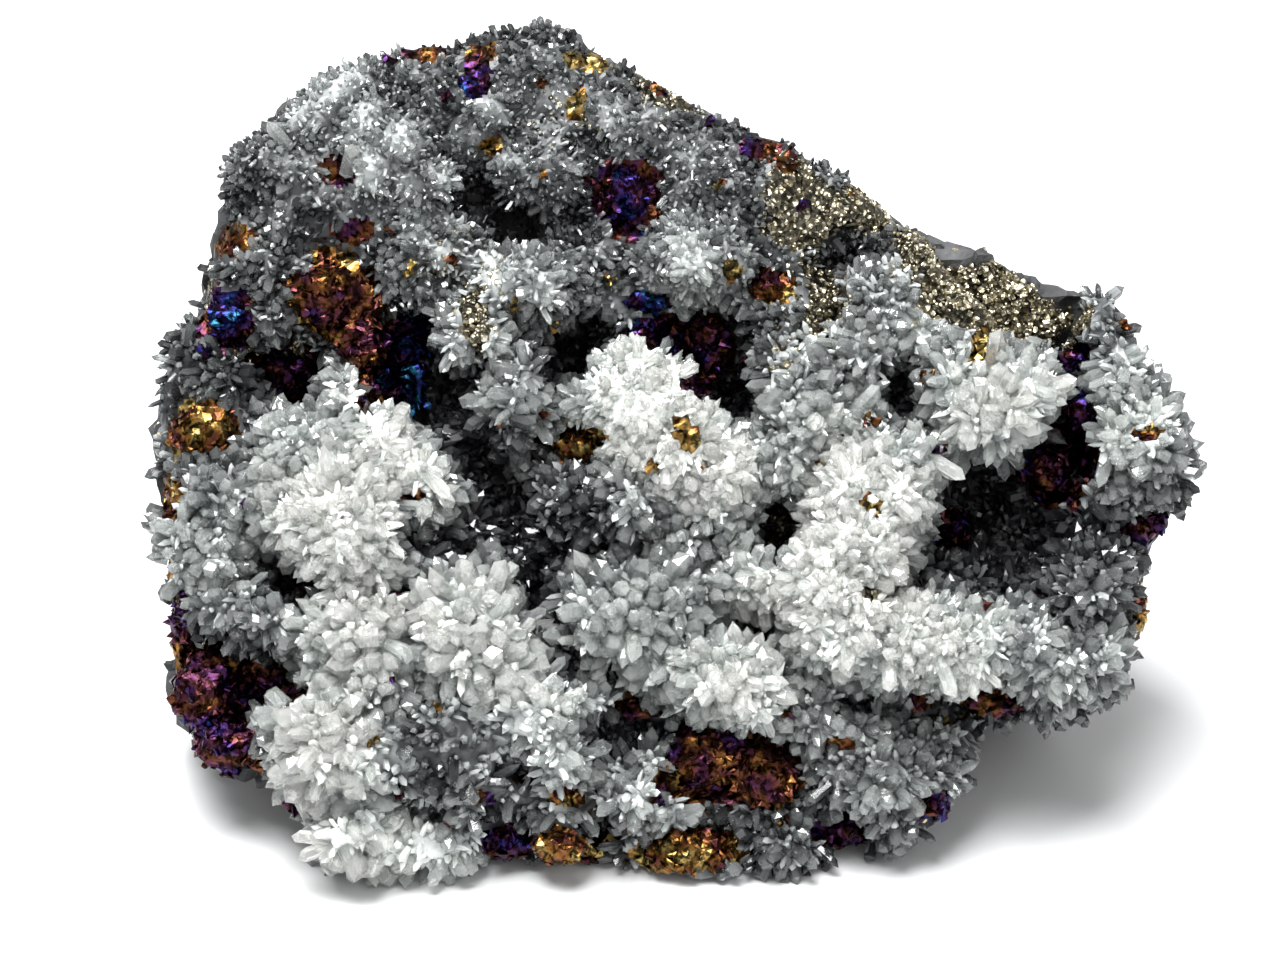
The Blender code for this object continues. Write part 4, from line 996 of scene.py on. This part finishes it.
grain_shapes = [ore_grain(f"ore_grain_{k}", k) for k in range(GRAIN_KINDS)]
grain_kinds = kinds_of("ore_grains", grain_shapes)
ORE_GROWTH = dict(Kinds=grain_kinds, Finish=peacock, Spread=EVERY_WAY, **EVERYWHERE)
for index, node in enumerate(ORE_NODES):
    label = node.replace("peacock_ore_", "tarnished_")
    core = even_skin(label + "_core", [node], ORE_VOXEL, 1)
    points, normals = points_and_normals(core.data)
    for k, (point, normal) in enumerate(zip(points, normals)):
        rise = chip_height(Vector(point), ORE_CHIP_SIZE, ORE_CHIP_TILT) - ORE_CHIP_SUNK
        points[k] = point + normal * max(ORE_CHIP_RANGE[0], min(ORE_CHIP_RANGE[1], rise))
    place_points(core.data, points)
    carried = {"tarnish": TARNISH[node], "room": 1, "size": 1, "shade": EVEN_SHADE}
    for name, value in carried.items():
        add_attribute(core.data, name, np.full(len(points), value))
    core.data.materials.append(peacock)
    grains = grow(
        label + "_grains", core.data, Room="room", Spacing=1.0 * MM, Density=1.5e6,
        Thinnest=0.7 * MM, Thickest=1.9 * MM, Shortest=0.7 * MM, Longest=1.6 * MM,
        Sunk=0.15 * MM, Seed=20 + index, **ORE_GROWTH,
    )
    lump = joined(label, [core, grains], peacock)
    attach(lump, "root")
    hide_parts(node)

coating = grow(
    "tarnished_coating", crust.data, Room="ore_room", Spacing=0.75 * MM, Density=2.2e6,
    Thinnest=0.6 * MM, Thickest=1.7 * MM, Shortest=0.6 * MM, Longest=1.5 * MM,
    Sunk=-0.1 * MM, Seed=51, **ORE_GROWTH,
)
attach(coating, "root")

rng = random.Random(SPECK_SEED)
bm = bmesh.new()
tarnish_of = []
for u, v, radius, tone in ORE_SPECKS:
    hit, normal, _, _ = surface.ray_cast(on_face(u, v, FRONT_OF_STONE), into_face)
    if hit is None:
        continue
    for _ in range(GRAINS_A_SPECK):
        first = len(bm.verts)
        bm.from_mesh(rng.choice(grain_kinds.objects[:]).data)
        bm.verts.ensure_lookup_table()
        place = hit + normal * SPECK_RISE * MM + random_vector(rng, SPECK_SPREAD) * radius * MM
        turn = random_vector(rng, 1).to_track_quat("Z", "Y")
        for vert in bm.verts[first:]:
            vert.co = place + turn @ (vert.co * radius * SPECK_GRAIN * MM)
            tarnish_of.append(tone)
mesh = bpy.data.meshes.new("tarnished_grains")
bm.to_mesh(mesh)
bm.free()
add_attribute(mesh, "tarnish", tarnish_of)
add_attribute(mesh, "shade", np.full(len(tarnish_of), EVEN_SHADE))
mesh.materials.append(peacock)
specks = new_piece("tarnished_grains", mesh)
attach(specks, "root")


# Pyrite
# Pale brass grains, half a millimetre to a millimetre across, that glitter on the bare rock at the
# upper right and on thin patches of the crust. It grew last, over both.

BED_VOXEL, BED_SOFTENING = 0.5 * MM, 2
BED_FRONT = 0.3  # pyrite is only where the bed faces less far back than this
CUBE_WIDTH, CUBE_BEVEL = 0.8, 0.14
PYRITE_SEED = 60


def pyrite_cube(name):
    """One bevelled cube, nearly one unit wide."""
    bm = bmesh.new()
    bmesh.ops.create_cube(bm, size=CUBE_WIDTH)
    bmesh.ops.bevel(bm, geom=bm.edges[:], offset=CUBE_BEVEL, segments=1, affect="EDGES")
    mesh = bpy.data.meshes.new(name)
    bm.to_mesh(mesh)
    bm.free()
    return bpy.data.objects.new(name, mesh)


bed = even_skin("pyrite_bed", ["pyrite_druse"], BED_VOXEL, BED_SOFTENING)
points, normals = points_and_normals(bed.data)
add_attribute(bed.data, "pyrite_room", normals[:, 1] < BED_FRONT)
add_attribute(bed.data, "size", np.ones(len(points)))
bed.data.materials.append(brassy)
cube_kinds = kinds_of("pyrite_cubes", [pyrite_cube("pyrite_cube")])
sprinkled = []
for name, ground, spacing, lift in (
    ("pyrite_on_rock", bed, 0.5, 0.1), ("pyrite_on_quartz", crust, 0.6, 0.35),
):
    sprinkled.append(grow(
        name, ground.data, Kinds=cube_kinds, Finish=brassy, Room="pyrite_room",
        Spacing=spacing * MM, Density=4.5e6, Thinnest=0.55 * MM, Thickest=1.25 * MM,
        Shortest=0.55 * MM, Longest=1.25 * MM, Spread=EVERY_WAY, Sunk=-lift * MM,
        Seed=PYRITE_SEED, **EVERYWHERE,
    ))
for piece in (bed, *sprinkled):
    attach(piece, "root")
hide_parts("pyrite_druse")


# Floor, light and camera
# A white table top with a faint shine, in a bright room, on which the stone stands free. The
# light falls softly from a broad window above it, and the camera looks square on to the leaning
# face. Places and sizes of the lights are in metres, those of the camera in millimetres.

TABLE_REACH = 1.6
TABLE_COLOUR = (0.72, 0.73, 0.735)
TABLE_ROUGHNESS = 0.3
STONE_MIDDLE = Vector((0, 0, 0.04))
ROOM_BRIGHTNESS = 0.55
FACE_MIDDLE = (-3.74, 48.8)
CAMERA_DISTANCE = 620.0
FRAME_WIDTH = 149.5
SENSOR_WIDTH = 36
SEEN_AS_FAR_AS = 10  # metres

bm = bmesh.new()
bmesh.ops.create_grid(bm, x_segments=1, y_segments=1, size=TABLE_REACH)
mesh = bpy.data.meshes.new("table")
bm.to_mesh(mesh)
bm.free()
table = new_piece("table", mesh)
white_table, _, shader = new_finish("white_table")
shader.inputs["Base Color"].default_value = (*TABLE_COLOUR, 1)
shader.inputs["Roughness"].default_value = TABLE_ROUGHNESS
table.data.materials.append(white_table)


def soft_light(name, place, size, power):
    """A rectangular lamp that points at the stone."""
    light = bpy.data.lights.new(name, "AREA")
    light.shape = "RECTANGLE"
    light.size, light.size_y = size
    light.energy = power
    lamp = new_piece(name, light)
    lamp.location = place
    lamp.rotation_euler = (STONE_MIDDLE - lamp.location).to_track_quat("-Z", "Y").to_euler()


soft_light("window", place=(-0.13, -0.12, 0.85), size=(0.6, 0.5), power=20.5)
soft_light("fill", place=(0.5, -0.6, 0.5), size=(0.6, 0.6), power=1.6)

world = bpy.data.worlds.new("room")
bpy.context.scene.world = world
world.use_nodes = True
room_light = world.node_tree.nodes["Background"]
room_light.inputs["Color"].default_value = (1, 1, 1, 1)
room_light.inputs["Strength"].default_value = ROOM_BRIGHTNESS

camera = new_piece("camera", bpy.data.cameras.new("camera"))
camera.data.sensor_width = SENSOR_WIDTH
camera.data.lens = SENSOR_WIDTH * CAMERA_DISTANCE / FRAME_WIDTH
camera.data.clip_end = SEEN_AS_FAR_AS
camera.location = on_face(*FACE_MIDDLE, CAMERA_DISTANCE)
camera.rotation_euler = (math.pi / 2 - FACE_LEAN, 0, 0)
bpy.context.scene.camera = camera
bpy.context.scene.view_settings.view_transform = "Standard"
